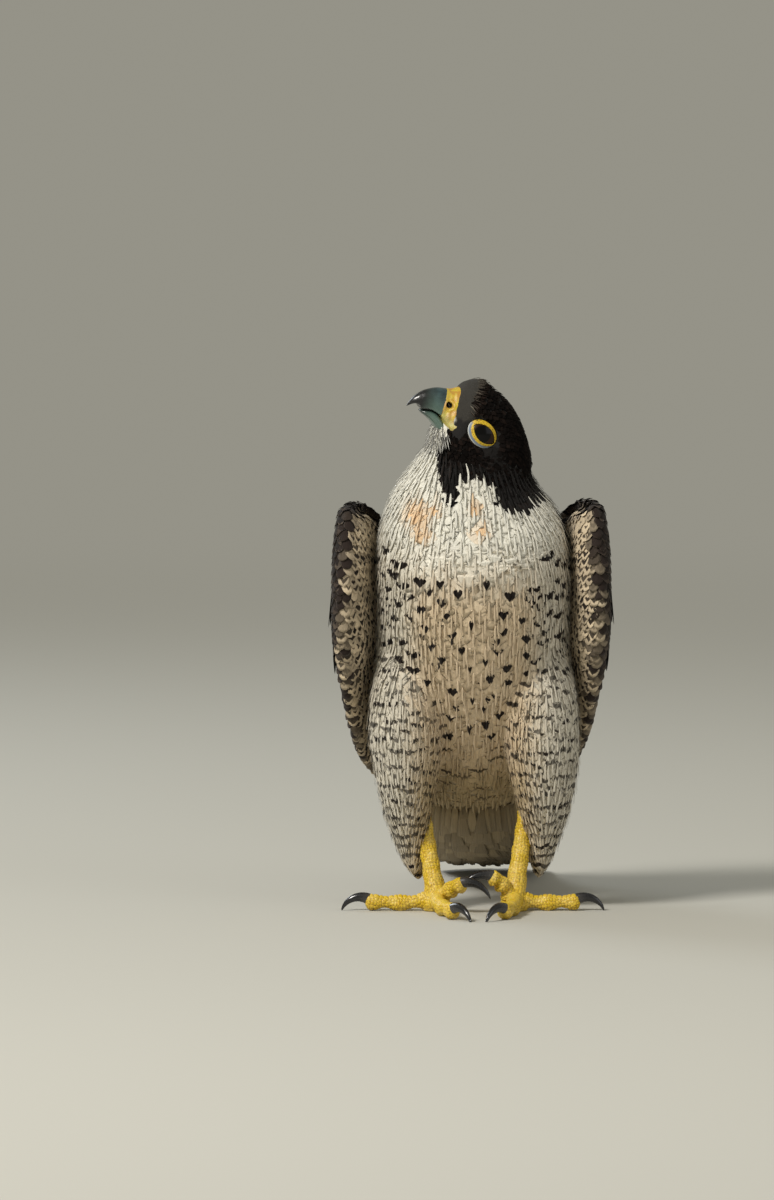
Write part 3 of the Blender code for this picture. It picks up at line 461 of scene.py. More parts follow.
def build(name, points, faces, finish, maps=None, fields=None, flat=None, replaces=()):
    """A piece from points in millimetres and faces as an array of quads, with its maps and point fields."""
    mesh = bpy.data.meshes.new(name)
    mesh.vertices.add(len(points))
    mesh.vertices.foreach_set("co", ((points - MIDDLE) * MM).astype(np.float32).ravel())
    corners = faces.ravel().astype(np.int32)
    mesh.loops.add(len(corners))
    mesh.loops.foreach_set("vertex_index", corners)
    mesh.polygons.add(len(faces))
    mesh.polygons.foreach_set("loop_start", np.arange(len(faces), dtype=np.int32) * faces.shape[1])
    mesh.update(calc_edges=True)
    for label, flat_map in (maps or {}).items():
        layer = mesh.uv_layers.new(name=label)
        layer.data.foreach_set("uv", flat_map[corners].astype(np.float32).ravel())
    for label, values in (fields or {}).items():
        put_field(mesh, label, values)
    smooth = np.ones(len(faces), bool) if flat is None else ~flat
    mesh.polygons.foreach_set("use_smooth", smooth)
    mesh.materials.append(finish)
    obj = bpy.data.objects.new(name, mesh)
    bpy.context.scene.collection.objects.link(obj)
    return enrol(obj, replaces)


def put_field(mesh, label, values):
    """A point attribute with three numbers at each point."""
    layer = mesh.attributes.new(name=label, type="FLOAT_VECTOR", domain="POINT")
    layer.data.foreach_set("vector", values.astype(np.float32).ravel())


def enrol(obj, replaces=()):
    """Tells the frame a piece's body, and hides the solids that it stands for."""
    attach(obj, BODY)
    if replaces:
        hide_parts(*replaces)
    return obj


def tube(name, rings, finish, maps=None, fields=None, replaces=()):
    """A closed tube through rings of points: quads between them, and rings drawn to a point over each end."""
    count, size = rings.shape[:2]
    ends = []
    for ring in (rings[0], rings[-1]):
        middle = ring.mean(0)
        ends.append(middle + (ring - middle) * 0.02)
    full = np.concatenate([ends[0][None], rings, ends[1][None]])
    points = full.reshape(-1, 3)
    faces = closed_grid(count + 2, size)
    centre = full.mean(1)
    normal = np.cross(full[:, 1] - full[:, 0], np.roll(full, -1, axis=0)[:, 0] - full[:, 0])
    outward = (normal * (full[:, 0] - centre)).sum(-1)[1:-2].sum()
    if outward < 0:
        faces = faces[:, ::-1]
    def spread(values):
        """The values of each ring, with those of the first and last repeated for the rings over the ends."""
        shaped = values.reshape(count, size, -1)
        return np.concatenate([shaped[:1], shaped, shaped[-1:]]).reshape(-1, values.shape[-1])
    maps = {label: spread(values) for label, values in (maps or {}).items()}
    fields = {label: spread(values) for label, values in (fields or {}).items()}
    return build(name, points, faces, finish, maps, fields, None, replaces)


BAKE_PATCH = 0.003  # each vane's own square on the unwrapped skin


def feather_faces(count, rows, columns):
    """Quads of closed vanes: a top sheet, a floor from edge to edge, and nested quads over both ends."""
    row, column = np.meshgrid(np.arange(rows - 1), np.arange(columns - 1), indexing="ij")
    a = (row * columns + column).ravel()
    top = np.stack([a, a + columns, a + columns + 1, a + 1], 1)
    first = np.arange(rows - 1) * columns
    last = first + columns - 1
    floor = np.stack([last, last + columns, first + columns, first], 1)
    k = np.arange(columns // 2 - 1)
    root = np.stack([k, k + 1, columns - 2 - k, columns - 1 - k], 1)
    tip = (root + (rows - 1) * columns)[:, ::-1]
    one = np.concatenate([top, floor, root, tip])
    flat = np.arange(len(one)) >= len(top)
    offset = np.arange(count) * rows * columns
    return (one[None] + offset[:, None, None]).reshape(-1, 4), np.tile(flat, count)


def plume(name, vanes, roots, looks, finish, slot, replaces=()):
    """One coat piece from vanes of count x rows x columns points, each with its place on the unwrapped skin.

    looks holds each vane's out, tint, form and extra, and spots: the mark it may show, as place, directions,
    form and strength. The spot field is each point's distance across and down from that mark, in millimetres.
    """
    count, rows, columns = vanes.shape[:3]
    across = vanes[:, rows // 2, -1] - vanes[:, rows // 2, 0]
    ahead = vanes[:, -1].mean(1) - vanes[:, 0].mean(1)
    wrong = (np.cross(ahead, across) * looks["out"]).sum(-1) < 0
    vanes = np.where(wrong[:, None, None, None], vanes[:, :, ::-1], vanes)
    faces, flat = feather_faces(count, rows, columns)
    u, v = np.meshgrid(np.linspace(0, 1, columns), np.linspace(0, 1, rows))
    vane_map = np.stack([u, v], -1).reshape(1, -1, 2)
    bake = roots[:, None] + BAKE_PATCH * (vane_map - 0.5)
    maps = {
        "Vane": np.broadcast_to(vane_map, bake.shape).reshape(-1, 2),
        "OFBake": np.clip(bake, 0, 1).reshape(-1, 2),
    }
    points = vanes.reshape(count, -1, 3)
    given = [key for key in ("tint", "form", "extra") if key in looks]
    fields = {key: np.repeat(looks[key], rows * columns, axis=0) for key in given}
    spots = looks.get("spots")
    if spots:
        offset = points - spots["at"][:, None]
        side = (offset * spots["across"][:, None]).sum(-1)
        down = (offset * spots["down"][:, None]).sum(-1)
        strength = np.broadcast_to(spots["strength"][:, None], side.shape)
        fields["spot"] = np.stack([side, down, strength], -1).reshape(-1, 3)
        fields["form"] = np.repeat(spots["form"], rows * columns, axis=0)
    return build(name, points.reshape(-1, 3), faces, finish, maps, fields, flat, replaces)


def picked(table, rows):
    """The same rows of each array in a table of arrays, and of a table inside it."""
    return {key: picked(part, rows) if isinstance(part, dict) else part[rows] for key, part in table.items()}


def make_spots(p, depth, flow, form, strength):
    """Marks on the body: their places, the ways across and down there, their half-width, rise and drop."""
    at, out = ground(p, depth, 2)
    run = flow(at)
    run = unit(run - out * dot(out, run))
    return {"at": at, "across": unit(np.cross(out, run)), "down": run, "form": form, "strength": strength}


def nearest(spots, p):
    """The mark nearest to each point."""
    chosen = np.empty(len(p), int)
    for start in range(0, len(p), 4000):
        part = slice(start, start + 4000)
        chosen[part] = ((p[part, None] - spots["at"]) ** 2).sum(-1).argmin(1)
    return picked(spots, chosen)


def own_spots(vanes, share, form, strength):
    """A mark of each vane's own, on its middle line at a share of its length."""
    row = int(share * (vanes.shape[1] - 1))
    middle = vanes.mean(2)
    return {
        "at": middle[:, row],
        "across": unit(vanes[:, row, -1] - vanes[:, row, 0]),
        "down": unit(middle[:, row + 1] - middle[:, row - 1]),
        "form": form,
        "strength": strength,
    }


def outline(v, root=0.35, belly=0.45, tip=0.6):
    """A feather's half-width share from root to tip: it swells to 1 at the belly and narrows to the tip."""
    swell = root + (1 - root) * np.sin(np.clip(v / belly, 0, 1) * np.pi / 2)
    return swell * (1 - (1 - tip) * step(v, 0.6, 1.0) ** 1.3)


def lay(roots, flow, length, rows, depth):
    """Centre lines traced over the body from each root along the flow; gives places, ways out and ways on."""
    p = ground(roots, depth, 2)[0]
    places, outs, runs = [], [], []
    for _ in range(rows):
        p, out = ground(p, depth)
        run = flow(p)
        run = unit(run - out * dot(out, run))
        places.append(p)
        outs.append(out)
        runs.append(run)
        p = p + run * (length / (rows - 1))[:, None]
    return np.stack(places, 1), np.stack(outs, 1), np.stack(runs, 1)


def shape_vanes(places, outs, runs, width, columns, rise, sink=1.2, camber=0.08, ragged=0.0, tip=0.6,
                root=0.35):
    """Vane points round centre lines: place + side * half-width * u + out * lift + run * back, where lift
    grows from -sink to rise and falls at the edges, and back draws the edges towards the root."""
    count, rows = places.shape[:2]
    v = np.linspace(0, 1, rows)[None, :, None]
    u = np.linspace(-1, 1, columns)[None, None, :]
    side = unit(np.cross(outs, runs))[:, :, None]
    half = width[:, None, None] / 2 * outline(v, root, 0.45, tip)
    lift = -sink + (rise[:, None, None] + sink) * v**1.1 - camber * half * u**2
    back = -0.42 * width[:, None, None] / 2 * np.abs(u) ** 2.2 * v**2
    back = back + ragged * draw.normal(size=(count, 1, columns)) * v**6
    return (
        places[:, :, None]
        + side * (half * u)[..., None]
        + outs[:, :, None] * lift[..., None]
        + runs[:, :, None] * back[..., None]
    )


COAT_FRINGE = 0.0  # how pale the edges of the body's feathers are


def coat(name, roots, unwrap, width, length, flow, look, rise, sink, rows=7, columns=6, ragged=0.3, tip=0.55,
         spots=None, tint=None, keep=None, split=None):
    """A tract of feathers laid along the flow from their roots, with the body's marks where they lie."""
    places, outs, runs = lay(roots, flow, length, rows, coat_depth)
    if keep is not None:
        clear = keep(places)
        places, outs, runs = places[clear], outs[clear], runs[clear]
        width, unwrap, rise = width[clear], unwrap[clear], rise[clear]
    vanes = shape_vanes(places, outs, runs, width, columns, rise, sink, ragged=ragged, tip=tip)
    seen = places[:, int(0.82 * (rows - 1))]
    colour = coat_tint(seen) if tint is None else tint(seen)
    count = len(seen)
    looks = {
        "tint": colour,
        "out": outs[:, rows // 2],
        "extra": np.stack([np.full(count, 0.7), COAT_FRINGE * draw.random(count), draw.random(count)], 1),
        "spots": nearest(spots, seen) if spots else no_spots(count),
    }
    parts = {name: np.ones(count, bool)} if split is None else split(seen)
    for label, part in parts.items():
        plume(label, vanes[part], unwrap[part], picked(looks, part), *look)


def no_spots(count):
    """Marks of no strength, for plain feathers."""
    zero = np.zeros((count, 3))
    return {"at": zero, "across": zero, "down": zero, "form": zero + 0.1, "strength": zero[:, 0]}


# Materials


class Finish:
    """A procedural material, with short helpers that add nodes and wire them."""

    def __init__(self, name, **values):
        self.made = bpy.data.materials.new(name)
        self.made.use_nodes = True
        self.tree = self.made.node_tree
        self.shader = self.tree.nodes["Principled BSDF"]
        self.dress(values)

    def dress(self, values):
        """Sets or wires the shader's inputs by name."""
        for key, value in values.items():
            self.put(self.shader.inputs[key.replace("_", " ")], value)

    def node(self, kind, inputs=None, **settings):
        """A new node with its settings, and its inputs set or wired."""
        made = self.tree.nodes.new("ShaderNode" + kind)
        for key, value in settings.items():
            setattr(made, key, value)
        for key, value in (inputs or {}).items():
            self.put(made.inputs[key], value)
        return made

    def put(self, socket, value):
        """Wires another node's output into a socket, or sets its plain value."""
        if isinstance(value, bpy.types.NodeSocket):
            self.tree.links.new(value, socket)
        else:
            socket.default_value = value

    def calc(self, operation, *values, clamp=False):
        """The result of a math operation on the values."""
        made = self.node("Math", operation=operation, use_clamp=clamp)
        for socket, value in zip(made.inputs, values):
            self.put(socket, value)
        return made.outputs[0]

    def ease(self, value, low, high, start=0.0, end=1.0):
        """A smooth step of value, from start at low to end at high."""
        made = self.node("MapRange", interpolation_type="SMOOTHSTEP")
        for socket, number in zip(made.inputs, (value, low, high, start, end)):
            self.put(socket, number)
        return made.outputs[0]

    def flat(self, value):
        """A grey colour with one value."""
        return self.join(value, value, value)

    def mix(self, share, first, second, blend="MIX"):
        """first * (1 - share) + second * share, or another blend."""
        made = self.node("Mix", data_type="RGBA", blend_type=blend)
        for index, value in ((0, share), (6, first), (7, second)):
            self.put(made.inputs[index], value)
        return made.outputs[2]

    def noise(self, where, scale, detail=2.0, roughness=0.5):
        """Smooth noise from 0 to 1."""
        inputs = {"Vector": where, "Scale": scale, "Detail": detail, "Roughness": roughness}
        return self.node("TexNoise", inputs).outputs[0]

    def streaked(self, x, x_scale, y, y_scale, shift):
        """Noise drawn out over two ways at two scales, and moved from one feather to another by shift."""
        spot = self.join(self.calc("MULTIPLY", x, x_scale), self.calc("MULTIPLY", y, y_scale), shift)
        return self.noise(spot, 1.0, 3.0)

    def place(self):
        """Each point's place on its own piece, in metres."""
        return self.node("TexCoord").outputs["Object"]

    def field(self, name):
        """A field of the mesh, by name."""
        return self.node("Attribute", attribute_name=name).outputs["Vector"]

    def split(self, vector):
        """The three numbers of a vector."""
        return self.node("SeparateXYZ", {"Vector": vector}).outputs

    def join(self, x, y, z):
        """A vector from three numbers."""
        return self.node("CombineXYZ", {"X": x, "Y": y, "Z": z}).outputs[0]

    def bump(self, height, strength, distance):
        """Fine relief from a height."""
        made = self.node("Bump", {"Height": height, "Strength": strength, "Distance": distance})
        self.put(self.shader.inputs["Normal"], made.outputs[0])


def rgb(colour):
    """A colour with full opacity."""
    return (*(float(c) for c in colour), 1.0)


def plumage_finish(name, sheen=0.06, specular=0.2, fringe=(0.30, 0.23, 0.17), barbs=26.0, slope=0.75):
    """Feathers. Barbs are noise stretched along lines where v - slope * |side| is the same. A mark is dark
    between an arched, notched upper edge, a pointed lower edge and its sides, and its ends are lifted. With
    a = |x| / width its depth is the least of y + lift a^2 + rise sqrt(1 - a^2), drop (1 - a) - y - lift a^2
    and width (1 - a)."""
    made = Finish(name, Roughness=0.8, Specular_IOR_Level=specular, Sheen_Weight=sheen, Sheen_Roughness=0.5)
    u, v, _ = made.split(made.node("UVMap", uv_map="Vane").outputs[0])
    tint = made.field("tint")
    across, down, strength = made.split(made.field("spot"))
    wide, rise, drop = made.split(made.field("form"))
    lift, pale, seed = made.split(made.field("extra"))
    side = made.calc("MULTIPLY_ADD", u, 2.0, -1.0)
    away = made.calc("ABSOLUTE", side)
    barb = made.calc("SUBTRACT", v, made.calc("MULTIPLY", away, slope))
    shift = made.calc("MULTIPLY", seed, 37.0)
    streaks = made.streaked(barb, barbs, side, 1.6, shift)
    strands = made.streaked(side, 9.0, v, 1.5, shift)
    lighter = made.ease(strands, 0.3, 0.7, -0.10, 0.10)
    shade = made.calc("ADD", made.ease(streaks, 0.25, 0.75, 0.88, 1.06), lighter)
    colour = made.mix(1.0, tint, made.flat(shade), "MULTIPLY")
    edge = made.calc("MAXIMUM", made.ease(away, 0.70, 0.98), made.ease(v, 0.88, 0.985))
    colour = made.mix(made.calc("MULTIPLY", edge, pale), colour, rgb(fringe))
    part = made.calc("DIVIDE", made.calc("ABSOLUTE", across), made.calc("MAXIMUM", wide, 0.1))
    square = made.calc("MULTIPLY", part, part)
    level = made.calc("ADD", made.calc("ADD", down, made.calc("MULTIPLY", lift, square)),
                      made.calc("MULTIPLY_ADD", strands, 1.6, -0.8))
    arch = made.calc("SQRT", made.calc("SUBTRACT", 1.0, square, clamp=True))
    notch = made.ease(part, 0.0, 0.35, 0.5, 1.0)
    above = made.calc("ADD", level, made.calc("MULTIPLY", made.calc("MULTIPLY", rise, arch), notch))
    taper = made.calc("SUBTRACT", 1.0, part)
    below = made.calc("SUBTRACT", made.calc("MULTIPLY", drop, taper), level)
    depth = made.calc("MINIMUM", made.calc("MINIMUM", above, below), made.calc("MULTIPLY", taper, wide))
    depth = made.calc("ADD", depth, made.calc("MULTIPLY_ADD", streaks, 0.5, -0.25))
    dark = made.calc("MULTIPLY", made.ease(depth, -0.15, 0.22), strength)
    stain = made.mix(made.ease(depth, 0.0, 0.5), (0.07, 0.036, 0.018, 1), (0.010, 0.0065, 0.005, 1))
    made.dress({"Base Color": made.mix(dark, colour, stain)})
    made.bump(made.calc("ADD", streaks, strands), 0.35, 0.0005)
    return made.made


def skin_finish():
    """Skin and down under the coat: the coat's own colour from the tint field, with a downy grain."""
    made = Finish("down", Roughness=0.9)
    down = made.noise(made.place(), 900.0, 4.0)
    shade = made.ease(down, 0.25, 0.75, 0.75, 1.0)
    made.dress({"Base Color": made.mix(1.0, made.field("tint"), made.flat(shade), "MULTIPLY")})
    made.bump(down, 0.5, 0.0006)
    return made.made


SKIN_DEPTH = 1.9
FACE_DEPTH = 1.1
# The cere's back edge on the face: up and forward.
CERE_BACK = np.array([(-11.5, 9.6), (-8, 9.6), (-4.2, 10.0), (2.0, 13.2), (7.7, 16.2), (11.5, 18.0)])


def past_cere(p):
    """How far points lie forward of the cere's back edge, whose place forward follows their height."""
    f, _, u = to_head(p).T
    return f - np.interp(u, CERE_BACK[:, 0], CERE_BACK[:, 1])


def coat_depth(p):
    """How deep the skin lies under the solids: less on the head than on the body, and sunk round the bill."""
    head = step(head_gap(p) - trunk_gap(p), 4, -8)
    depth = SKIN_DEPTH * (1 - head) + FACE_DEPTH * head
    u = to_head(p)[:, 2]
    sunk = step(past_cere(p), -2.5, 1.5) * step(u, -15, -10) * head
    return depth + 1.8 * sunk


def squared(turn, square):
    """Cos and sin of a turn, each raised to 2 / square with its sign kept."""
    return (np.sign(w) * np.abs(w) ** (2 / square) for w in (np.cos(turn), np.sin(turn)))


def trunk_points(station, turn):
    """Points of the trunk's surface: on the ring at a station, cos and sin of the turn, squared off."""
    row = along(TRUNK, station)
    ahead = unit(along(TRUNK, station + 0.05)[..., :2] - along(TRUNK, station - 0.05)[..., :2])
    side, rise = squared(turn, TRUNK_SQUARE)
    depth = np.where(rise > 0, row[..., 4], row[..., 3]) * rise
    return np.stack([
        row[..., 5] + row[..., 2] * side,
        row[..., 0] + depth * ahead[..., 1],
        row[..., 1] - depth * ahead[..., 0],
    ], -1)


def head_points(station, turn):
    """Points of the head's surface before its sockets are pressed in."""
    row = along(HEAD, station)
    side, rise = squared(turn, HEAD_SQUARE)
    f, l, u = row[..., 0], row[..., 1] * side, np.where(rise > 0, row[..., 2], row[..., 3]) * rise
    f = f + FOREHEAD_LEAN * np.clip(row[..., 0] / 16, 0, 1) * np.maximum(u, -8)
    return from_head(np.stack([f, l, u], -1))


def thigh_points(word, station, turn):
    """Points of a thigh's surface, on a level oval at a station."""
    row = along(THIGHS[word], station)
    side, rise = squared(turn, THIGH_SQUARE)
    x, y = row[..., 0] + row[..., 3] * side, row[..., 1] + row[..., 4] * rise
    return np.stack([x, y, row[..., 2] + 0 * side], -1)


SKIN_VOXEL = 1.8
SKIN_SIDES = 40
SKIN_ROUNDS = 6


def make_skin(finishes):
    """One skin over trunk, neck, head and thighs: their lofts joined by a voxel remesh, set on the form."""
    turn = np.linspace(0, 2 * np.pi, SKIN_SIDES, endpoint=False)
    parts = [
        trunk_points(np.linspace(0, len(TRUNK) - 1, 60)[:, None], turn[None]),
        head_points(np.linspace(0, len(HEAD) - 1, 40)[:, None], turn[None]),
        thigh_points("left", np.linspace(0, 8, 40)[:, None], turn[None]),
        thigh_points("right", np.linspace(0, 8, 40)[:, None], turn[None]),
    ]
    points, faces, start = [], [], 0
    for rings in parts:
        middle = rings.mean(1, keepdims=True)
        rings = middle + (rings - middle) * 0.94
        tips = middle + (rings - middle) * 0.01
        closed = np.concatenate([tips[:1], rings, tips[-1:]])
        points.append(closed.reshape(-1, 3))
        faces.append(closed_grid(len(closed), SKIN_SIDES) + start)
        start += len(closed) * SKIN_SIDES
    skin = build("skin", np.vstack(points), np.vstack(faces), finishes["down"])
    shrink = skin.modifiers.new("One skin", "REMESH")
    shrink.mode = "VOXEL"
    shrink.voxel_size = SKIN_VOXEL * MM
    graph = bpy.context.evaluated_depsgraph_get()
    mesh = bpy.data.meshes.new_from_object(skin.evaluated_get(graph))
    skin.modifiers.clear()
    skin.data = mesh
    flat = np.empty(len(mesh.vertices) * 3, np.float32)
    mesh.vertices.foreach_get("co", flat)
    p = flat.reshape(-1, 3).astype(float) / MM + MIDDLE
    for _ in range(SKIN_ROUNDS):
        p = ground(p, coat_depth(p))[0]
    mesh.vertices.foreach_set("co", ((p - MIDDLE) * MM).astype(np.float32).ravel())
    tint = plumage(p)
    hood = step(hood_gap(p), 1.0, -1.0)[:, None]
    tint = tint * (1 - hood) + HOOD * hood
    face = (step(past_cere(p), -7, -4) * step(to_head(p)[:, 2], -12, -9) * (trunk_gap(p) > 8))[:, None]
    put_field(mesh, "tint", tint * (1 - face) + LORES * 0.15 * face)
    mesh.polygons.foreach_set("use_smooth", np.ones(len(mesh.polygons), bool))
    mesh.materials.clear()
    mesh.materials.append(finishes["down"])
    mesh.update()
    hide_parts("torso", "neck", "head", "thigh_left", "thigh_right")


def trunk_flow(p):
    """The way the body's feathers point: down the spine, and on the head straight back."""
    ahead = trunk_place(p)[2]
    down = np.stack([-0.06 * np.tanh(p[:, 0] / 30), -ahead[:, 0], -ahead[:, 1]], 1)
    share = step(head_gap(p) - trunk_gap(p), 9, -9)[:, None]
    return down * (1 - share) - HEAD_AXES[0] * share


def thigh_flow(p):
    """The thighs' feathers point down and a little back."""
    return np.tile((0.0, 0.06, -1.0), (len(p), 1))


def tract(start, end, pitch, columns, place, lean=0.35):
    """Roots in staggered rows over a form, rows a pitch apart along it and columns evenly round it, with the
    room that each has sideways and its place on the unwrapped skin."""
    fine = np.linspace(start, end, 200)
    line = place(fine, np.full(200, -np.pi / 2))
    run = np.concatenate([[0], np.cumsum(np.linalg.norm(np.diff(line, axis=0), axis=1))])
    rows = max(2, int(run[-1] / pitch))
    station = np.interp(np.linspace(0, run[-1], rows), run, fine)
    row, column = np.meshgrid(np.arange(rows), np.arange(columns), indexing="ij")
    spot = station[row] + lean * (station[1] - station[0]) * draw.normal(size=row.shape) * 0.5
    turn = (column + 0.5 * (row % 2) + 0.16 * draw.normal(size=row.shape)) * 2 * np.pi / columns
    beside = place(spot, turn + np.pi / columns) - place(spot, turn - np.pi / columns)
    wide = np.linalg.norm(beside, axis=-1)
    unwrap = np.stack([(turn / (2 * np.pi)) % 1, (spot - start) / (end - start)], -1)
    return place(spot, turn).reshape(-1, 3), wide.ravel(), 0.02 + 0.96 * unwrap.reshape(-1, 2)


def rooted(keep, *where):
    """A tract without the roots that fail a test."""
    found = tract(*where)
    kept = keep(found[0])
    return [part[kept] for part in found]


def trunk_spots():
    """Marks in staggered columns: streaks down the middle, hearts beside them, and bows on the flanks."""
    roots = tract(3.4, 9.4, 5.0, 17, trunk_points)[0]
    _, row, _, back, _ = trunk_place(roots)
    side = np.abs(roots[:, 0] - row[:, 5])
    count = len(roots)
    heart, bow = step(side, 3, 11), step(side, 25, 36)
    size = (1 + 0.13 * draw.normal(size=count))[:, None]
    half = 1.0 + 1.3 * heart + 2.9 * bow
    rise = 2.3 - 0.4 * heart - 0.3 * bow
    drop = 2.7 - 0.2 * heart - 0.3 * bow
    form = np.stack([half, rise, drop], 1) * size * 1.2
    limit = np.interp(side, [0, 15, 30, 45], [169, 172, 177, 184]) + 3 * draw.normal(size=count)
    strength = (roots[:, 2] < limit) * (roots[:, 2] > 88) * (draw.random(count) > 0.06) * (back < 8)
    keep = strength > 0
    for word in THIGHS:
        keep &= thigh_gap(roots, word) > 1
    return make_spots(roots[keep], SKIN_DEPTH, trunk_flow, form[keep], strength[keep] * 1.0)


def vent_spots():
    """Thin bars across the undertail feathers, fewer lower down."""
    roots = tract(0.6, 4.6, 6.2, 19, trunk_points)[0]
    count = len(roots)
    z = roots[:, 2]
    size = 1 + 0.18 * draw.normal(size=count)
    form = np.stack([5.2 * size, 1.0 * size, 1.4 * size], 1)
    keep = (z < 92) & (draw.random(count) < np.interp(z, [35, 60, 70], [0.35, 0.6, 0.95]))
    for word in THIGHS:
        keep &= thigh_gap(roots, word) > 1
    return make_spots(roots[keep], SKIN_DEPTH, trunk_flow, form[keep], 0.6 + 0.4 * draw.random(count)[keep])


def thigh_spots(word):
    """Short bars, each with a small point down in its middle, that nearly join across the thigh."""
    roots = tract(0.4, 7.8, 5.9, 18, lambda s, a: thigh_points(word, s, a))[0]
    count = len(roots)
    size = (1 + 0.15 * draw.normal(size=count))[:, None]
    form = np.array([[5.8, 1.3, 1.8]]) * size
    keep = (trunk_gap(roots) > 0) & (draw.random(count) < 0.94)
    return make_spots(roots[keep], SKIN_DEPTH, thigh_flow, form[keep], 0.75 + 0.25 * draw.random(count)[keep])


def body_spots():
    """All marks of trunk and thighs in one table."""
    groups = [trunk_spots(), vent_spots(), thigh_spots("left"), thigh_spots("right")]
    return {key: np.concatenate([group[key] for group in groups]) for key in groups[0]}


def coat_tint(p, spread=0.045):
    """Each feather's own colour: the plumage's, or the hood's inside its ragged edge, varied a little."""
    inside = (hood_gap(p) + 0.6 * draw.normal(size=len(p)) < 0)[:, None]
    shade = 1 + spread * draw.normal(size=(len(p), 1))
    warm = 0.6 * draw.random((len(p), 1)) ** 4
    hood = HOOD * (0.6 + 0.8 * draw.random((len(p), 1))) * (1 - warm) + BROWN * warm
    return np.where(inside, hood, plumage(p) * shade)


def lores_tint(p):
    """Pale grey bristles round the cere, darker towards the hood."""
    near = step(past_cere(p), -5.5, -1.5)[:, None]
    light = LORES * (0.55 + 0.9 * draw.random((len(p), 1)))
    return light * near + BROWN * (1 - near)


def eye_axes(hand):
    """The eyeball's centre and its axes: forward along the slit, up across it, and out."""
    flip = np.array([1, hand, 1])
    out = unit((EYE_OUT * flip) @ HEAD_AXES)
    ahead = unit(HEAD_AXES[0] - out * (HEAD_AXES[0] @ out))
    up = np.cross(out, ahead) * -hand
    return from_head(EYE_AT * flip), np.stack([ahead, up, out])


LID_EDGE = (8.4, 6.6)  # the lids' outer edge, forward and up from the eye's middle


def off_the_eyes(lines):
    """Which feathers keep their whole centre line outside both lids' outer edges."""
    clear = np.ones(len(lines), bool)
    for hand in (1, -1):
        centre, axes = eye_axes(hand)
        flat = (lines.reshape(-1, 3) - centre) @ axes.T
        inside = ((flat[:, :2] / LID_EDGE) ** 2).sum(1) < 1.05
        clear &= ~(inside & (flat[:, 2] > 0)).reshape(len(lines), -1).any(1)
    return clear


def off_the_bill(p):
    """Which points lie behind the cere's back edge and the lower bill's root."""
    f, _, u = to_head(p).T
    return np.where(u < -10.5, f < 18.0, past_cere(p) < -0.4)


def front_and_back(p):
    """Which of the trunk's feathers belong to each of its two pieces."""
    front = trunk_place(p)[3] < 0
    return {"breast_feathers": front, "back_feathers": ~front}


def off_the_thighs(p, least):
    """Which points lie outside both thighs by more than the least gap."""
    return (thigh_gap(p, "left") > least) & (thigh_gap(p, "right") > least)


WISP = {"rows": 5, "columns": 4, "tip": 0.15}


def make_body_coat(finishes):
    """All contour feathers: trunk, neck, head, thighs, then loose wisps and bristles over them."""
    spots = body_spots()
    look = (finishes["contour"], "body_feathers")
    roots, wide, unwrap = rooted(lambda p: off_the_thighs(p, -4), 0.6, 8.9, 2.6, 46, trunk_points)
    count = len(roots)
    length = np.interp(roots[:, 2], [40, 80, 200], [22, 18, 17]) * (1 + 0.08 * draw.normal(size=count))
    rise = 0.7 + 0.03 * draw.normal(size=count)
    coat("trunk", roots, unwrap, wide * 1.8, length, trunk_flow, look, rise, 0.3, ragged=0.6, spots=spots,
         split=front_and_back)
    roots, wide, unwrap = rooted(lambda p: head_gap(p) > -3.5, 8.6, 12.95, 2.1, 50, trunk_points)
    count = len(roots)
    length = 11 + 0.8 * draw.normal(size=count)
    rise = 0.65 + 0.03 * draw.normal(size=count)
    coat("neck_feathers", roots, unwrap, np.clip(wide * 2.3, 5, 9), length, trunk_flow, look, rise, 0.3,
         rows=6, ragged=0.5)
    make_head_coat(finishes)
    for word in THIGHS:
        make_thigh_coat(word, look, spots)
    roots, _, unwrap = rooted(
        lambda p: off_the_thighs(p, 0) & (head_gap(p) > 0), 0.8, 12.4, 5.0, 60, trunk_points)
    count = len(roots)
    width = 1.0 + 0.6 * draw.random(count)
    length = 8 + 3 * draw.random(count)
    rise = 1.9 + 0.4 * draw.random(count)
    coat("breast_wisps", roots, unwrap, width, length, trunk_flow, look, rise, -1.0, spots=spots, **WISP)


def make_thigh_coat(word, look, spots):
    """One thigh's feathers, and loose wisps over them."""
    def place(station, turn):
        """Points of this thigh's surface."""
        return thigh_points(word, station, turn)
    roots, wide, unwrap = rooted(lambda p: trunk_gap(p) > -4, 0.5, 6.9, 2.6, 25, place)
    count = len(roots)
    length = np.interp(roots[:, 2], [25, 45, 150], [12, 13, 14]) * (1 + 0.1 * draw.normal(size=count))
    rise = 0.8 + 0.06 * draw.normal(size=count)
    coat(f"thigh_feathers_{word}", roots, unwrap, np.maximum(wide * 1.9, 5.5), length, thigh_flow, look, rise,
         0.3, ragged=0.8, tip=0.5, spots=spots)
    roots, _, unwrap = rooted(lambda p: trunk_gap(p) > 1, 1.5, 7.2, 6.5, 34, place)
    count = len(roots)
    width = 1.0 + 0.5 * draw.random(count)
    length = 9 + 2 * draw.random(count)
    rise = 2.0 + 0.5 * draw.random(count)
    coat(f"thigh_wisps_{word}", roots, unwrap, width, length, thigh_flow, look, rise, -1.0, spots=spots,
         **WISP)


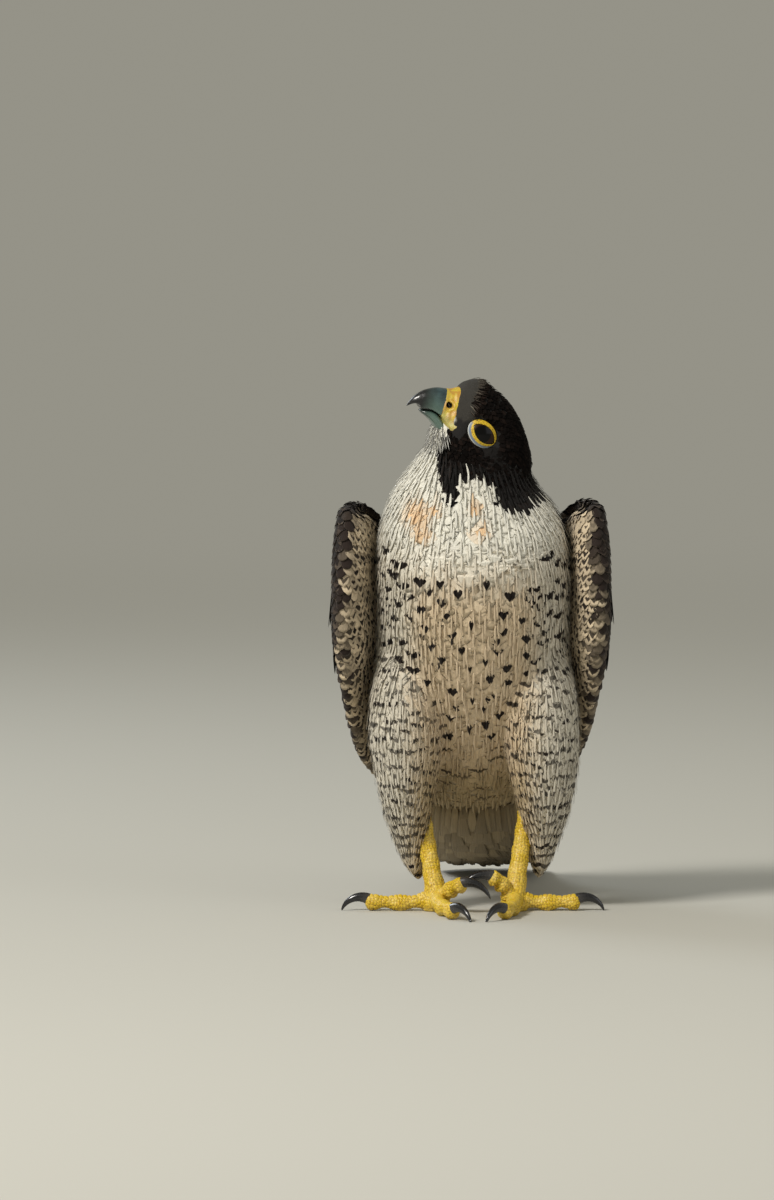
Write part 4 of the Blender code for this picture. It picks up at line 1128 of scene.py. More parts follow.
def make_head_coat(finishes):
    """The short close feathers of the head, and bristles at the lores, forehead and chin."""
    look = (finishes["hood"], "hood_feathers")
    def clear(places):
        """Which centre lines stay off the eyes, without their roots."""
        return off_the_eyes(places[:, 1:])
    roots, wide, unwrap = rooted(
        lambda p: (trunk_gap(p) > -4) & off_the_bill(p), 0.6, 11.9, 1.5, 56, head_points)
    count = len(roots)
    f = to_head(roots)[:, 0]
    length = np.interp(f, [-20, 0, 14], [7.0, 5.4, 3.6]) * (1 + 0.1 * draw.normal(size=count))
    rise = 0.75 + 0.08 * draw.normal(size=count)
    coat("head_feathers", roots, unwrap, np.clip(wide * 1.35, 1.4, 4.2), length, trunk_flow, look, rise, 0.4,
         rows=6, keep=clear)
    def by_the_cere(p):
        """Which points lie close behind the cere, most of them taken."""
        past = past_cere(p)
        return (past > -6) & (past < -0.2) & (to_head(p)[:, 2] > -12) & (draw.random(len(p)) < 0.8)
    roots, _, unwrap = rooted(by_the_cere, 8.2, 11.9, 0.9, 90, head_points)
    count = len(roots)
    length = 3.4 + 1.6 * draw.random(count)
    rise = 1.1 + 0.7 * draw.random(count)
    coat("lores_bristles", roots, unwrap, np.full(count, 0.55), length, trunk_flow, look, rise, 0.1, rows=4,
         columns=4, tip=0.15, tint=lores_tint, keep=clear)
    def on_the_chin(p):
        """Which points lie under the lower bill, outside the hood."""
        own = to_head(p)
        return (own[:, 2] < -11.5) & (own[:, 0] < 18.5) & (hood_gap(p) > 0.5)
    roots, _, unwrap = rooted(on_the_chin, 5.5, 11.5, 1.5, 70, head_points)
    count = len(roots)
    length = 5 + 3 * draw.random(count)
    rise = 1.4 + 1.0 * draw.random(count)
    coat("chin_bristles", roots, unwrap, np.full(count, 0.6), length, trunk_flow,
         (finishes["contour"], "body_feathers"), rise, 0.1, tint=chin_tint, **WISP)


def chin_tint(p):
    """Grey bristles, each lighter or darker."""
    return CHIN * (0.35 + 1.0 * draw.random((len(p), 1)))


# Wings


def wing_place(distance, across):
    """Points on the folded left wing's outer face, with the way out and the way back from its front edge."""
    def face(s, t):
        """The straight line from front to back edge, arched outwards."""
        edges = at_distance(WING, s)
        lead, trail = edges[..., :3], edges[..., 3:]
        chord = trail - lead
        ahead = at_distance(WING, s + 2)[..., :3] - at_distance(WING, s - 2)[..., :3]
        out = unit(np.cross(ahead, chord))
        full = np.interp(s, [0, 40, 110, 170, 240, 315], [0.75, 1, 1, 0.6, 0.3, 0.15])
        bent = np.clip(t, 0, 1) ** 0.9
        arch = WING_ARCH * full * np.sin(np.pi * bent)
        return lead + chord * t[..., None] + out * arch[..., None]
    s, t = np.broadcast_arrays(np.asarray(distance, float), np.asarray(across, float))
    point = face(s, t)
    down = face(np.minimum(s + 1, 314), t) - face(np.minimum(s, 313) - 1, t)
    back = face(s, t + 0.02) - face(s, t - 0.02)
    out = unit(np.cross(down, back))
    return point, out, unit(back)


def wing_side(points, word):
    """The left wing's points carried to one side: mirrored for the right, and shifted as each is held."""
    return points * WING_HAND[word] + WING_SHIFT[word]


# Round the wing's section: share of the width back from the front edge, share of the thickness inwards.
OUTER_FACE = np.array([
    (1.0, 0.03), (0.8, 0), (0.6, 0), (0.4, 0), (0.22, 0), (0.1, 0.01), (0.03, 0.07), (0, 0.2),
])
FRONT_FACE = np.array([
    (0.03, 0.07), (0, 0.2), (0, 0.4), (0.02, 0.6), (0.06, 0.76), (0.14, 0.9), (0.28, 0.97), (0.5, 0.97),
    (0.72, 0.93), (0.9, 0.78), (0.99, 0.5), (1.0, 0.15),
])


class Sheet:
    """A curved face as a grid of points, with the steps between them and the way out at each."""

    def __init__(self, points):
        self.points = points
        self.down = np.gradient(points, axis=0)
        self.over = np.gradient(points, axis=1)
        self.out = unit(np.cross(self.down, self.over))

    def read(self, values, row, column):
        """Values at fractional rows and columns, each the mix of its four neighbours."""
        row = np.clip(row, 0, values.shape[0] - 1.001)
        column = np.clip(column, 0, values.shape[1] - 1.001)
        i, j = row.astype(int), column.astype(int)
        a, b = (row - i)[..., None], (column - j)[..., None]
        low = values[i, j] * (1 - b) + values[i, j + 1] * b
        high = values[i + 1, j] * (1 - b) + values[i + 1, j + 1] * b
        return low * (1 - a) + high * a

    def scales(self, row, column, length, width, turn, rows, columns, rise, sink, ragged=0.2):
        """Vanes that lie on the sheet from roots at row and column and point down it, slanted by turn."""
        v = np.linspace(0, 1, rows)[None, :, None]
        u = np.linspace(-1, 1, columns)[None, None, :]
        deep, broad, turn = (w[:, None, None] for w in (length, width, turn))
        half = broad / 2 * outline(v)
        on = deep * v - 0.42 * broad / 2 * np.abs(u) ** 2.2 * v**2
        on = on + ragged * draw.normal(size=(len(length), 1, columns)) * v**6
        side = half * u
        per_row = np.linalg.norm(self.read(self.down, row, column), axis=-1)[:, None, None]
        per_column = np.linalg.norm(self.read(self.over, row + 3, column), axis=-1)[:, None, None]
        i = row[:, None, None] + (on * np.cos(turn) - side * np.sin(turn)) / per_row
        j = column[:, None, None] + (on * np.sin(turn) + side * np.cos(turn)) / per_column
        lift = -sink + (rise[:, None, None] + sink) * v**1.1 - 0.06 * half * u**2
        points, out = self.read(self.points, i, j), unit(self.read(self.out, i, j))
        return points + out * lift[..., None], out[:, rows // 2, columns // 2]


def wing_sheet(section, columns):
    """A sheet over part of the wing's section, its columns spaced evenly along each row."""
    s = np.linspace(0.5, 200, 160)
    fine = along(section, np.linspace(0, len(section) - 1, 160))
    point, out = wing_place(s[:, None], fine[None, :, 0])[:2]
    taper = np.interp(s, [0, 12, 40, 90, 130, 158, 200], [0.35, 0.8, 1.0, 0.95, 0.6, 0.38, 0.2])
    point = point - out * (WING_THICK * taper[:, None] * fine[None, :, 1])[..., None]
    shrink = np.interp(s, [0.5, 3, 8, 16], [0.25, 0.58, 0.84, 1.0])[:, None, None]
    core = at_distance(WING, s)
    middle = (core[:, :3] + core[:, 3:])[:, None] / 2
    point = middle + (point - middle) * shrink
    run = np.linalg.norm(np.diff(point, axis=1), axis=-1)
    run = np.concatenate([np.zeros((len(s), 1)), np.cumsum(run, axis=1)], axis=1)
    even = np.empty((len(s), columns, 3))
    for row in range(len(s)):
        want = np.linspace(0, run[row, -1], columns)
        for axis in range(3):
            even[row, :, axis] = np.interp(want, run[row], point[row, :, axis])
    sheet = Sheet(even)
    if ((even - middle) * sheet.out).sum() < 0:
        sheet.out = -sheet.out
    return sheet


def sheet_tract(sheet, first, last, pitch, spacing):
    """Staggered roots on a sheet between two rows, with the room that each has to its sides."""
    columns = sheet.points.shape[1]
    spots, room = [], []
    row, odd = first, 0
    while row < last:
        width = np.linalg.norm(sheet.over[int(row) + 2], axis=-1).sum()
        count = max(5, int(width / spacing))
        share = (np.arange(count + 1) + 0.5 * odd) / count
        spots.append(np.stack([np.full(count + 1, row), np.minimum(share, 1) * (columns - 1)], 1))
        room.append(np.full(count + 1, width / count))
        row += pitch / max(np.linalg.norm(sheet.down[int(row), columns // 2]), 0.8)
        odd = 1 - odd
    spots, room = np.vstack(spots), np.concatenate(room)
    spots = spots + draw.normal(size=spots.shape) * np.array([0.3, 0.3])
    return np.maximum(spots[:, 0], 0), np.clip(spots[:, 1], 0, columns - 1), room


# Tiers of flight feathers and their coverts: how many, roots from and to, tips from and to (along, across),
# widths, and height over the wing. The first of each tier is the one nearest the front edge.
TIERS = {
    "primaries": (8, (110, 0.20), (128, 0.60), (286, 0.12), (214, 0.90), (17, 18), 1.4),
    "secondaries": (8, (72, 0.26), (78, 0.84), (160, 0.32), (176, 0.94), (20, 20), 2.6),
    "greater_coverts": (10, (44, 0.16), (44, 0.86), (108, 0.18), (118, 0.92), (16, 17), 2.9),
    "median_coverts": (11, (26, 0.14), (26, 0.88), (78, 0.14), (84, 0.92), (13, 15), 3.0),
}
TIER_BROWN = np.array([0.45, 0.7, 0.9, 0.9])
TIER_FRINGE = np.array([0.10, 0.18, 0.22, 0.24])
SINK = 2.2
SHINGLE = 0.5
VANE_ROWS = 26
VANE_COLUMNS = 8


def tier_vanes(tier):
    """Vane points of one tier on the left wing, each shingled over the next, with the way out of each."""
    count, root_a, root_b, tip_a, tip_b, widths, height = TIERS[tier]
    share = np.linspace(0, 1, count)[:, None]
    root = share * root_b + (1 - share) * root_a
    tip = share * tip_b + (1 - share) * tip_a
    if tier == "primaries":
        rank = share[:, 0] * 6
        tip[:, 0] = 300 - 12 * np.abs(rank - LONGEST_PRIMARY) ** 1.12 - 4 * (rank < LONGEST_PRIMARY)
    v = 1 - (1 - np.linspace(0, 1, VANE_ROWS)) ** 1.25
    s = root[:, :1] + (tip[:, :1] - root[:, :1]) * v
    t = root[:, 1:] + (tip[:, 1:] - root[:, 1:]) * v**0.85
    point, out, back = wing_place(s, t)
    near = np.where(np.arange(count) == 0, 1, np.arange(count) - 1)
    pitch = np.linalg.norm(wing_place(s, t[near])[0] - point, axis=-1)
    tilt = np.clip(SHINGLE / np.maximum(pitch, 1.5), 0.04, 0.22) * (0.3 + 0.7 * step(share, 0, 0.3))
    rise = -SINK + (height * (0.75 + 0.25 * share) + SINK) * v**1.3
    ahead = unit(np.gradient(point, axis=1))
    across = unit(np.cross(ahead, out))
    across = across * np.sign(dot(across, back))
    width = (share * widths[1] + (1 - share) * widths[0]) * outline(v, 0.42, 0.36, 0.5)
    round_tip = np.sqrt(np.clip(1 - (np.clip(v - 0.80, 0, 1) / 0.2) ** 3, 0.0, 1))
    half = (width / 2 * (0.16 + 0.84 * round_tip))[..., None]
    u = np.linspace(-1, 1, VANE_COLUMNS)
    lift = rise[..., None] - tilt[..., None] * half * u - 0.06 * half * u**2
    points = (
        point[:, :, None]
        + across[:, :, None] * (half * u)[..., None]
        + out[:, :, None] * lift[..., None]
    )
    return points, out[:, VANE_ROWS // 2], share[:, 0]


def small_coverts(name, word, sheet, rows, pitch, spacing, length, rise, tint_of, form, finishes):
    """Small feathers over a sheet of the wing, each with its own mark and the colour tint_of gives it."""
    row, column, room = sheet_tract(sheet, rows[0], rows[1], pitch, spacing)
    inner = (column > 1.5) & (column < sheet.points.shape[1] - 2.5)
    row, column, room = row[inner], column[inner], room[inner]
    count = len(row)
    grow = np.interp(row, [0, 6, 20, 60, 150], [0.5, 0.7, 0.9, 1.15, 1.25])
    slant = 0.12 * draw.normal(size=count)
    vanes, out = sheet.scales(row, column, length * grow, room * 1.5, slant, 7, 6, rise * grow, 0.5)
    vanes = wing_side(vanes, word)
    share = column / (sheet.points.shape[1] - 1)
    tint, strength, pale = tint_of(share, row, count)
    size = (1 + 0.2 * draw.normal(size=count))[:, None] * grow[:, None]
    looks = {
        "tint": tint,
        "extra": np.stack([0.9 + 0.8 * draw.normal(size=count), pale, draw.random(count)], 1),
        "out": out * WING_HAND[word],
        "spots": own_spots(vanes, 0.72, np.array([form]) * size, strength),
    }
    roots = np.stack([share, row / 160], 1)
    plume(f"{name}_{word}", vanes, roots, looks, finishes["contour"], "flight_feathers")


def covert_tint(share, row, count):
    """Dark brown lesser coverts with paler edges and no marks, whatever their share and row."""
    tint = BROWN * (0.4 + 0.5 * draw.random((count, 1)))
    return tint, np.zeros(count), 0.10 + 0.16 * draw.random(count)


def lining_tint(share, row, count):
    """Cream lining with dark marks, plain dark brown towards the wing's outer edge and at the wrist's top."""
    light = (CREAM * (0.7 + 0.45 * draw.random((count, 1)))) * np.array([1.0, 0.96, 0.9])
    outer = np.interp(row, [0, 12, 40, 70, 120], [0.22, 0.13, 0.08, 0.055, 0.04])
    outer = outer + 0.03 * draw.normal(size=count)
    dark = np.maximum(step(share, outer + 0.04, outer - 0.03), step(row, 5, 1))[:, None]
    tint = light * (1 - dark) + BROWN * dark
    strength = (draw.random(count) < 0.93) * (0.85 + 0.15 * draw.random(count)) * (1 - dark[:, 0])
    return tint, strength, 0.12 * dark[:, 0]


def make_wing(word, finishes):
    """The wing's dark core, its lining in front, its small coverts, and its tiers of long feathers."""
    outer, front = wing_sheet(OUTER_FACE, 70), wing_sheet(FRONT_FACE, 90)
    make_wing_core(word, outer, front, finishes)
    small_coverts("lesser_coverts", word, outer, (0.5, 66), 3.0, 4.6, 10.0, 0.7, covert_tint, (1.6, 0.7, 1.4),
                  finishes)
    small_coverts("wing_lining", word, front, (0.3, 152), 3.1, 4.8, 8.5, 0.9, lining_tint, (2.3, 1.4, 1.8),
                  finishes)
    parts = [tier_vanes(tier) for tier in TIERS]
    vanes = wing_side(np.concatenate([part[0] for part in parts]), word)
    count = len(vanes)
    kind = np.concatenate([np.full(len(part[2]), rank) for rank, part in enumerate(parts)])
    share = np.concatenate([part[2] for part in parts])
    tint = BROWN * TIER_BROWN[kind][:, None] + SLATE * (0.10 + 0.35 * share[:, None])
    tint = tint * (0.85 + 0.3 * draw.random((count, 1)))
    looks = {
        "tint": tint,
        "form": np.stack([kind / 3, share, np.zeros(count)], 1),
        "extra": np.stack([np.zeros(count), TIER_FRINGE[kind], draw.random(count)], 1),
        "out": np.concatenate([part[1] for part in parts]) * WING_HAND[word],
    }
    roots = np.stack([0.05 + 0.9 * share, 0.15 + 0.22 * kind], 1)
    finish = finishes["flight"]
    plume(f"long_feathers_{word}", vanes, roots, looks, finish, "flight_feathers", (f"wing_{word}",))


def make_wing_core(word, outer, front, finishes):
    """The dark closed form under the wing's feathers, a little inside their roots."""
    inside = np.concatenate([outer.points - outer.out, (front.points - front.out)[:, 4:-2]], axis=1)
    rings = inside[:128:3]
    tint = np.tile(BROWN * 0.6, (rings.shape[0] * rings.shape[1], 1))
    rings = wing_side(rings, word)
    tube(f"wing_core_{word}", rings, finishes["down"], None, {"tint": tint})


# Tail


def tail_place(distance, sideways):
    """Points on the tail's lower face, with the way up and the way sideways."""
    row = at_distance(TAIL, distance)
    stride = at_distance(TAIL, distance + 1) - at_distance(TAIL, np.asarray(distance) - 1)
    ahead = unit(np.stack([stride[..., 2], stride[..., 0], stride[..., 1]], -1))
    side = unit(np.cross(ahead, (0, 0, 1.0)) * (1, 1, 0))
    side = side * np.sign(side[..., :1])
    point = np.stack([row[..., 2], row[..., 0], row[..., 1]], -1) + side * np.asarray(sideways)[..., None]
    return point, unit(np.cross(side, ahead)), side


def make_tail(finishes):
    """Twelve rudder vanes, the middle pair on top, and long soft coverts under them."""
    v = np.linspace(0, 1, 30)
    vanes, outs = [], []
    for hand in (1, -1):
        for rank in range(TAIL_VANES):
            length = 170 - 0.9 * rank - 0.35 * rank**2
            distance = 24 + (length - 24) * v
            pitch = np.interp(v, [0, 1], TAIL_PITCH)
            round_tip = np.sqrt(np.clip(1 - (np.clip(v - 0.90, 0, 1) / 0.1) ** 3, 0.0, 1))
            half = TAIL_WIDTH / 2 * np.interp(v, [0, 0.3, 1], [0.6, 0.95, 1.0])
            sideways = hand * (half - 2.2 + pitch * rank)
            point, up, side = tail_place(distance, sideways)
            tilt = 0.7 / pitch
            height = 1.2 + tilt * half + 0.10 * (TAIL_VANES - rank) * (1 - v) + 0.5 * (hand > 0) * (rank == 0)
            u = np.linspace(-1, 1, VANE_COLUMNS)[None]
            wide = (half * (0.22 + 0.78 * round_tip))[:, None]
            lift = height[:, None] - tilt[:, None] * wide * u - 0.05 * wide * u**2
            over = (side * hand)[:, None] * (wide * u)[..., None] + up[:, None] * lift[..., None]
            vanes.append(point[:, None] + over)
            outs.append(up[15])
    count = 2 * TAIL_VANES
    looks = {
        "tint": np.tile(SLATE * 0.8, (count, 1)),
        "form": np.tile((1.0, 0.0, 1.0), (count, 1)),
        "extra": np.stack([np.ones(count), np.full(count, 0.5), draw.random(count)], 1),
        "out": np.stack(outs),
    }
    roots = np.stack([(np.arange(count) + 0.5) / count, np.full(count, 0.5)], 1)
    plume("tail_feathers", np.stack(vanes), roots, looks, finishes["flight"], "flight_feathers", ("tail",))
    make_undertail(finishes)


# The coverts under the tail: how many, the trunk station and width they start at, how far along the tail they
# reach, how wide they spread there, and how far they hang below it.
UNDERTAIL = ((16, 1.2, 0.62, 142, 18, 1.6), (17, 1.7, 0.68, 130, 20, 2.8), (18, 2.2, 0.70, 116, 22, 4.2),
             (19, 2.7, 0.72, 102, 23, 5.8), (20, 3.2, 0.72, 90, 24, 7.6), (21, 3.7, 0.72, 78, 25, 9.4))


def make_undertail(finishes):
    """Vanes along cubic curves from the trunk's lower side to the tail's under side: each leaves along the
    body's flow and arrives along the tail, a (1-v)^3 + 3 b v (1-v)^2 + 3 c v^2 (1-v) + d v^3."""
    v = np.linspace(0, 1, 12)[None, :, None]
    places, widths = [], []
    for count, station, reach, far, spread, drop in UNDERTAIL:
        share = np.linspace(-1, 1, count) + 0.04 * draw.normal(size=count)
        start = trunk_points(np.full(count, station), -np.pi / 2 + share * reach)
        end, up = tail_place(np.full(count, far + 5 * draw.normal(size=count)), share * spread)[:2]
        end = end - up * (drop * (1 - 0.35 * share**2))[:, None]
        before = tail_place(np.full(count, far - 10.0), share * spread)[0]
        last = unit(tail_place(np.full(count, far), share * spread)[0] - before)
        reach_of = np.linalg.norm(end - start, axis=1)[:, None] / 3
        first = start + trunk_flow(start) * reach_of
        near = end - last * reach_of
        a, b, c, d = (w[:, None] for w in (start, first, near, end))
        places.append(a * (1 - v) ** 3 + 3 * b * v * (1 - v) ** 2 + 3 * c * v**2 * (1 - v) + d * v**3)
        widths.append(np.full(count, 8.0))
    places, widths = np.concatenate(places), np.concatenate(widths)
    runs = unit(np.gradient(places, axis=1))
    across = np.tile((1.0, 0.0, 0.0), (*places.shape[:2], 1))
    outs = unit(np.cross(runs, across))
    outs = outs * np.sign(-outs[..., 2:3])
    count = len(places)
    vanes = shape_vanes(places, outs, runs, widths, 8, np.full(count, 0.5), 0.5, 0.05, 1.2, 0.35)
    vanes[..., 2] = np.maximum(vanes[..., 2], 1.2)
    seen = places[:, 9]
    bar = np.tile((4.0, 0.7, 1.1), (count, 1))
    looks = {
        # The coverts' buff is VENT darkened to 0.45 to 0.75 of it: painted shade of the hollow under the body
        # between the legs, varied a little from feather to feather.
        "tint": VENT * (0.45 + 0.3 * draw.random((count, 1))),
        "out": outs[:, 6],
        "extra": np.stack([np.full(count, 0.8), np.zeros(count), draw.random(count)], 1),
        "spots": own_spots(vanes, 0.88, bar, 0.8 * (draw.random(count) < 0.7)),
    }
    roots = np.stack([(seen[:, 0] + 60) / 120, seen[:, 1] / 300], 1)
    plume("undertail_coverts", vanes, roots, looks, finishes["contour"], "body_feathers")


# Bare parts


def cells(x, y, seed):
    """How far each flat point is from the nearest and second nearest of seeds, one in each unit cell."""
    table = np.random.default_rng(seed).random((64, 64, 2)) * 0.7 + 0.15
    column, row = np.floor(x).astype(int), np.floor(y).astype(int)
    near = np.full((9,) + np.broadcast(x, y).shape, 9.0)
    for index in range(9):
        i, j = column + index % 3 - 1, row + index // 3 - 1
        spot = table[i % 64, j % 64]
        near[index] = np.hypot(i + spot[..., 0] - x, j + spot[..., 1] - y)
    near.sort(axis=0)
    return near[0], near[1]


def ring_tube(path, radius, first, sides):
    """Rings square to a path, of a radius that may change round each, turned from the way called first."""
    ahead = unit(np.gradient(path, axis=0))
    top = unit(first - ahead * dot(first, ahead))
    side = np.cross(ahead, top)
    turn = np.linspace(0, 2 * np.pi, sides, endpoint=False)
    return (
        path[:, None]
        + top[:, None] * (radius * np.cos(turn))[..., None]
        + side[:, None] * (radius * np.sin(turn))[..., None]
    )


YELLOW = np.array([0.72, 0.49, 0.015])
YELLOW_DEEP = np.array([0.22, 0.10, 0.006])
YELLOW_PALE = np.array([0.85, 0.66, 0.20])


def scaled(radius, sides, plate, run_at, seed, front_room=1.0):
    """Relief and groove share of scaly skin round a tube: plates across its top, raised cells elsewhere."""
    turn = np.linspace(0, 2 * np.pi, sides, endpoint=False)[None]
    away = np.minimum(turn, 2 * np.pi - turn)
    run = run_at[:, None] + 0 * turn
    around = np.minimum(turn, 2 * np.pi - turn) * radius[:, None] * np.sign(np.pi - turn)
    near, second = cells(around / 1.75 + 31, run / 1.55 + 3, seed)
    small = np.exp(-(((second - near) / 0.14) ** 2))
    dome = 0.34 * np.clip(1 - (near / 0.75) ** 2, 0, 1)
    bowed = run + 0.35 * away**2 + 0.25 * np.sin(run * 0.9)
    phase = (bowed / plate) % 1
    edge = np.minimum(phase, 1 - phase) * plate
    across = np.exp(-((edge / 0.2) ** 2))
    front = step(away, front_room, front_room - 0.35)
    groove = across * front + small * (1 - front)
    swell = 0.30 * np.sin(np.pi * phase) ** 0.5 * front + dome * (1 - front)
    return swell - 0.28 * groove, groove


def make_leg(word, finishes):
    """Scaled tarsus and toes as closed tubes that run into one another at the foot, and the claws."""
    top, foot = np.array(ANKLES[word]), np.array(FEET[word])
    t = np.linspace(-0.05, 1.02, 120)
    path = top + (foot - top) * t[:, None]
    path[:, 1] += 2.5 * np.sin(np.pi * np.clip(t, 0, 1))
    base = np.interp(t, [0, 0.35, 0.75, 1], TARSUS) - 0.05
    length = np.linalg.norm(foot - top)
    relief, groove = scaled(base, 72, 3.4, t * length, 5, 0.0)
    lump = 0.25 * np.sin(t * 31)[:, None] * np.sin(np.linspace(0, 6 * np.pi, 72))[None]
    rings = ring_tube(path, base[:, None] + relief + lump, np.array([0.0, -1.0, 0.0]), 72)
    leg_tube(f"tarsus_{word}", rings, groove, finishes, (f"leg_{word}",))
    for toe in TOES[word]:
        make_toe(word, toe, finishes)
    sole_rings, sole_groove = sole_form(foot)
    leg_tube(f"sole_{word}", sole_rings, sole_groove, finishes)


def sole_form(foot):
    """The pad where toes and tarsus meet: level rings whose radius follows an oval, flat on the floor."""
    turn = np.linspace(0, 2 * np.pi, 64, endpoint=False)
    z = np.linspace(0.02, 10.0, 30)
    full = np.sqrt(np.clip(1 - ((z - 3.6) / 6.6) ** 2, 0.02, 1))
    near, second = cells(turn[None] * 4.0 + 9, z[:, None] / 1.5, 9)
    groove = np.exp(-(((second - near) / 0.16) ** 2))
    wide = full[:, None] * 7.2 + 0.3 * np.clip(1 - (near / 0.75) ** 2, 0, 1) - 0.25 * groove
    rings = np.empty((30, 64, 3))
    rings[..., 0] = foot[0] + wide * np.cos(turn)
    rings[..., 1] = foot[1] + wide * 1.03 * np.sin(turn)
    rings[..., 2] = z[:, None]
    return rings, groove


def leg_tube(name, rings, groove, finishes, replaces=()):
    """A tube of scaly skin kept above the floor, deep yellow in its grooves, with painted shade making it
    darker near the floor.
    """
    rings[..., 2] = np.maximum(rings[..., 2], 0.02)
    deep = np.clip(groove, 0, 1).reshape(-1, 1)
    # Painted shade near the floor: the skin is darkened by up to a quarter from 3 mm above the floor down to
    # it.
    low = step(rings[..., 2], 3.0, 0.3).reshape(-1, 1)
    tint = YELLOW * (1 - 0.8 * deep) + YELLOW_DEEP * 0.8 * deep
    tint = tint * (1 - 0.25 * low)
    return tube(name, rings, finishes["leg"], None, {"tint": tint}, replaces)


def toe_path(word, toe, count):
    """A toe's middle line evenly spaced, with the plain swelling of its pads and the distance run."""
    knots = np.array(TOES[word][toe][0], float)
    fine = along(knots, np.linspace(0, len(knots) - 1, 200))
    run = np.concatenate([[0], np.cumsum(np.linalg.norm(np.diff(fine, axis=0), axis=1))])
    t = np.linspace(0, 1, count)
    path = np.stack([np.interp(t * run[-1], run, fine[:, k]) for k in range(3)], 1)
    pads = np.sin(np.pi * (t * 2.6 + 0.15)) ** 2
    radii = TOE_RADIUS * (1 - 0.16 * t) * (0.80 + 0.24 * pads)
    return path, radii, t * run[-1]


def make_toe(word, toe, finishes):
    """A toe with pads that swell more below than above, plates on top and small cells elsewhere."""
    path, radii, run = toe_path(word, toe, 110)
    relief, groove = scaled(radii, 64, 2.5, run, 3)
    turn = np.linspace(0, 2 * np.pi, 64, endpoint=False)
    below = step(-np.cos(turn), -0.2, 1.0)[None]
    pads = (0.9 * np.sin(np.pi * (run / run[-1] * 2.6 + 0.15)) ** 2)[:, None] * below
    close = np.sqrt(np.clip(1 - (np.clip(run - run[-1] + 2.2, 0, 9) / 2.5) ** 2, 0.05, 1))
    around = (radii[:, None] + relief + pads) * close[:, None]
    rings = ring_tube(path, around, np.array([0.0, 0.0, 1.0]), 64)
    leg_tube(f"toe_{word}_{toe}", rings, groove, finishes)
    ahead = unit(path[-1] - path[-3])
    make_claw(word, toe, path[-1] - ahead * CLAW_SINK * 1.6 + (0, 0, 0.8), finishes)


def make_claw(word, toe, start, finishes):
    """A claw: rings on an arc in an upright plane, deeper than wide, grooved below, thinning to its tip."""
    turn, length, slope, end = TOES[word][toe][1]
    bearing, slope, end = np.radians((turn, slope, end))
    level = np.array([np.sin(bearing), -np.cos(bearing), 0.0])
    t = np.linspace(0, 1, 60)
    bend = slope + (end - slope) * t
    radius = (length + CLAW_SINK) / (slope - end)
    path = start + level * (radius * (np.sin(slope) - np.sin(bend)))[:, None]
    path[:, 2] += radius * (np.cos(bend) - np.cos(slope))
    radii = (CLAW_RADIUS + 0.1) * (1 - t) ** 0.72 + 0.10
    path[:, 2] = np.maximum(path[:, 2], radii + 0.05)
    turn = np.linspace(0, 2 * np.pi, 32, endpoint=False)
    first = np.cross(level, (0, 0, 1.0))
    ahead = unit(np.gradient(path, axis=0))
    up = unit(np.cross(first, ahead))
    up = up * np.sign(up[:, 2:3] + 1e-6)
    groove = 1 - 0.10 * np.exp(-((np.abs(turn - np.pi) / 0.45) ** 2))
    rings = (
        path[:, None]
        + up[:, None] * (radii[:, None] * np.cos(turn) * 1.08 * groove)[..., None]
        + first * (radii[:, None] * np.sin(turn) * 0.90)[..., None]
    )
    rings[..., 2] = np.maximum(rings[..., 2], 0.03)
    share = np.repeat(t, 32)
    fields = {"tint": np.stack([share, share, share], 1)}
    tube(f"claws_{word}_{toe}", rings, finishes["claw"], None, fields, (f"claw_{word}_{toe}",))


# Bill


def bill_rings(station, sides=72):
    """Rings of the upper bill: an arch from one cutting edge over the ridge to the other, closed below."""
    row = along(BILL, station)
    ridge, edge, half = row[:, 0:2], row[:, 2:4], row[:, 4]
    turn = np.linspace(-0.5 * np.pi, 1.5 * np.pi, sides, endpoint=False)
    rise = np.where(np.sin(turn) > 0, np.sin(turn) ** 0.92, 0.06 * np.sin(turn))
    middle = (ridge + edge) / 2
    tall = np.linalg.norm(ridge - edge, axis=1)
    up = (ridge - edge) / tall[:, None]
    spread = np.sign(np.cos(turn)) * np.abs(np.cos(turn)) ** 0.9 * (1 - 0.10 * np.maximum(rise, 0))
    local = np.empty((len(station), sides, 3))
    lift = (rise - 0.5)[None] * tall[:, None]
    local[..., 0] = middle[:, :1] + lift * up[:, :1]
    local[..., 2] = middle[:, 1:] + lift * up[:, 1:]
    local[..., 1] = half[:, None] * spread
    return local


def make_bill(finishes):
    """Cere with open nostrils, hooked upper horn with its tooth, and the lower bill."""
    make_cere(finishes)
    finish = finishes["horn"]
    horn = bill_rings(np.linspace(CERE_ENDS - 0.02, len(BILL) - 1, 150))
    looks = horn_looks(horn.reshape(-1, 3))
    tube("upper_horn", from_head(horn), finish, None, looks, ("bill_upper",))
    row = along(JAW, np.linspace(0, len(JAW) - 1, 60))
    turn = np.linspace(0, 2 * np.pi, 48, endpoint=False)
    side, rise = squared(turn, JAW_SQUARE)
    jaw = np.empty((60, 48, 3))
    jaw[..., 0] = row[:, :1]
    jaw[..., 1] = row[:, 3:4] * side
    jaw[..., 2] = row[:, 1:2] + row[:, 2:3] / 2 * rise
    looks = horn_looks(jaw.reshape(-1, 3), 1.0)
    tube("lower_horn", from_head(jaw), finish, None, looks, ("bill_lower",))


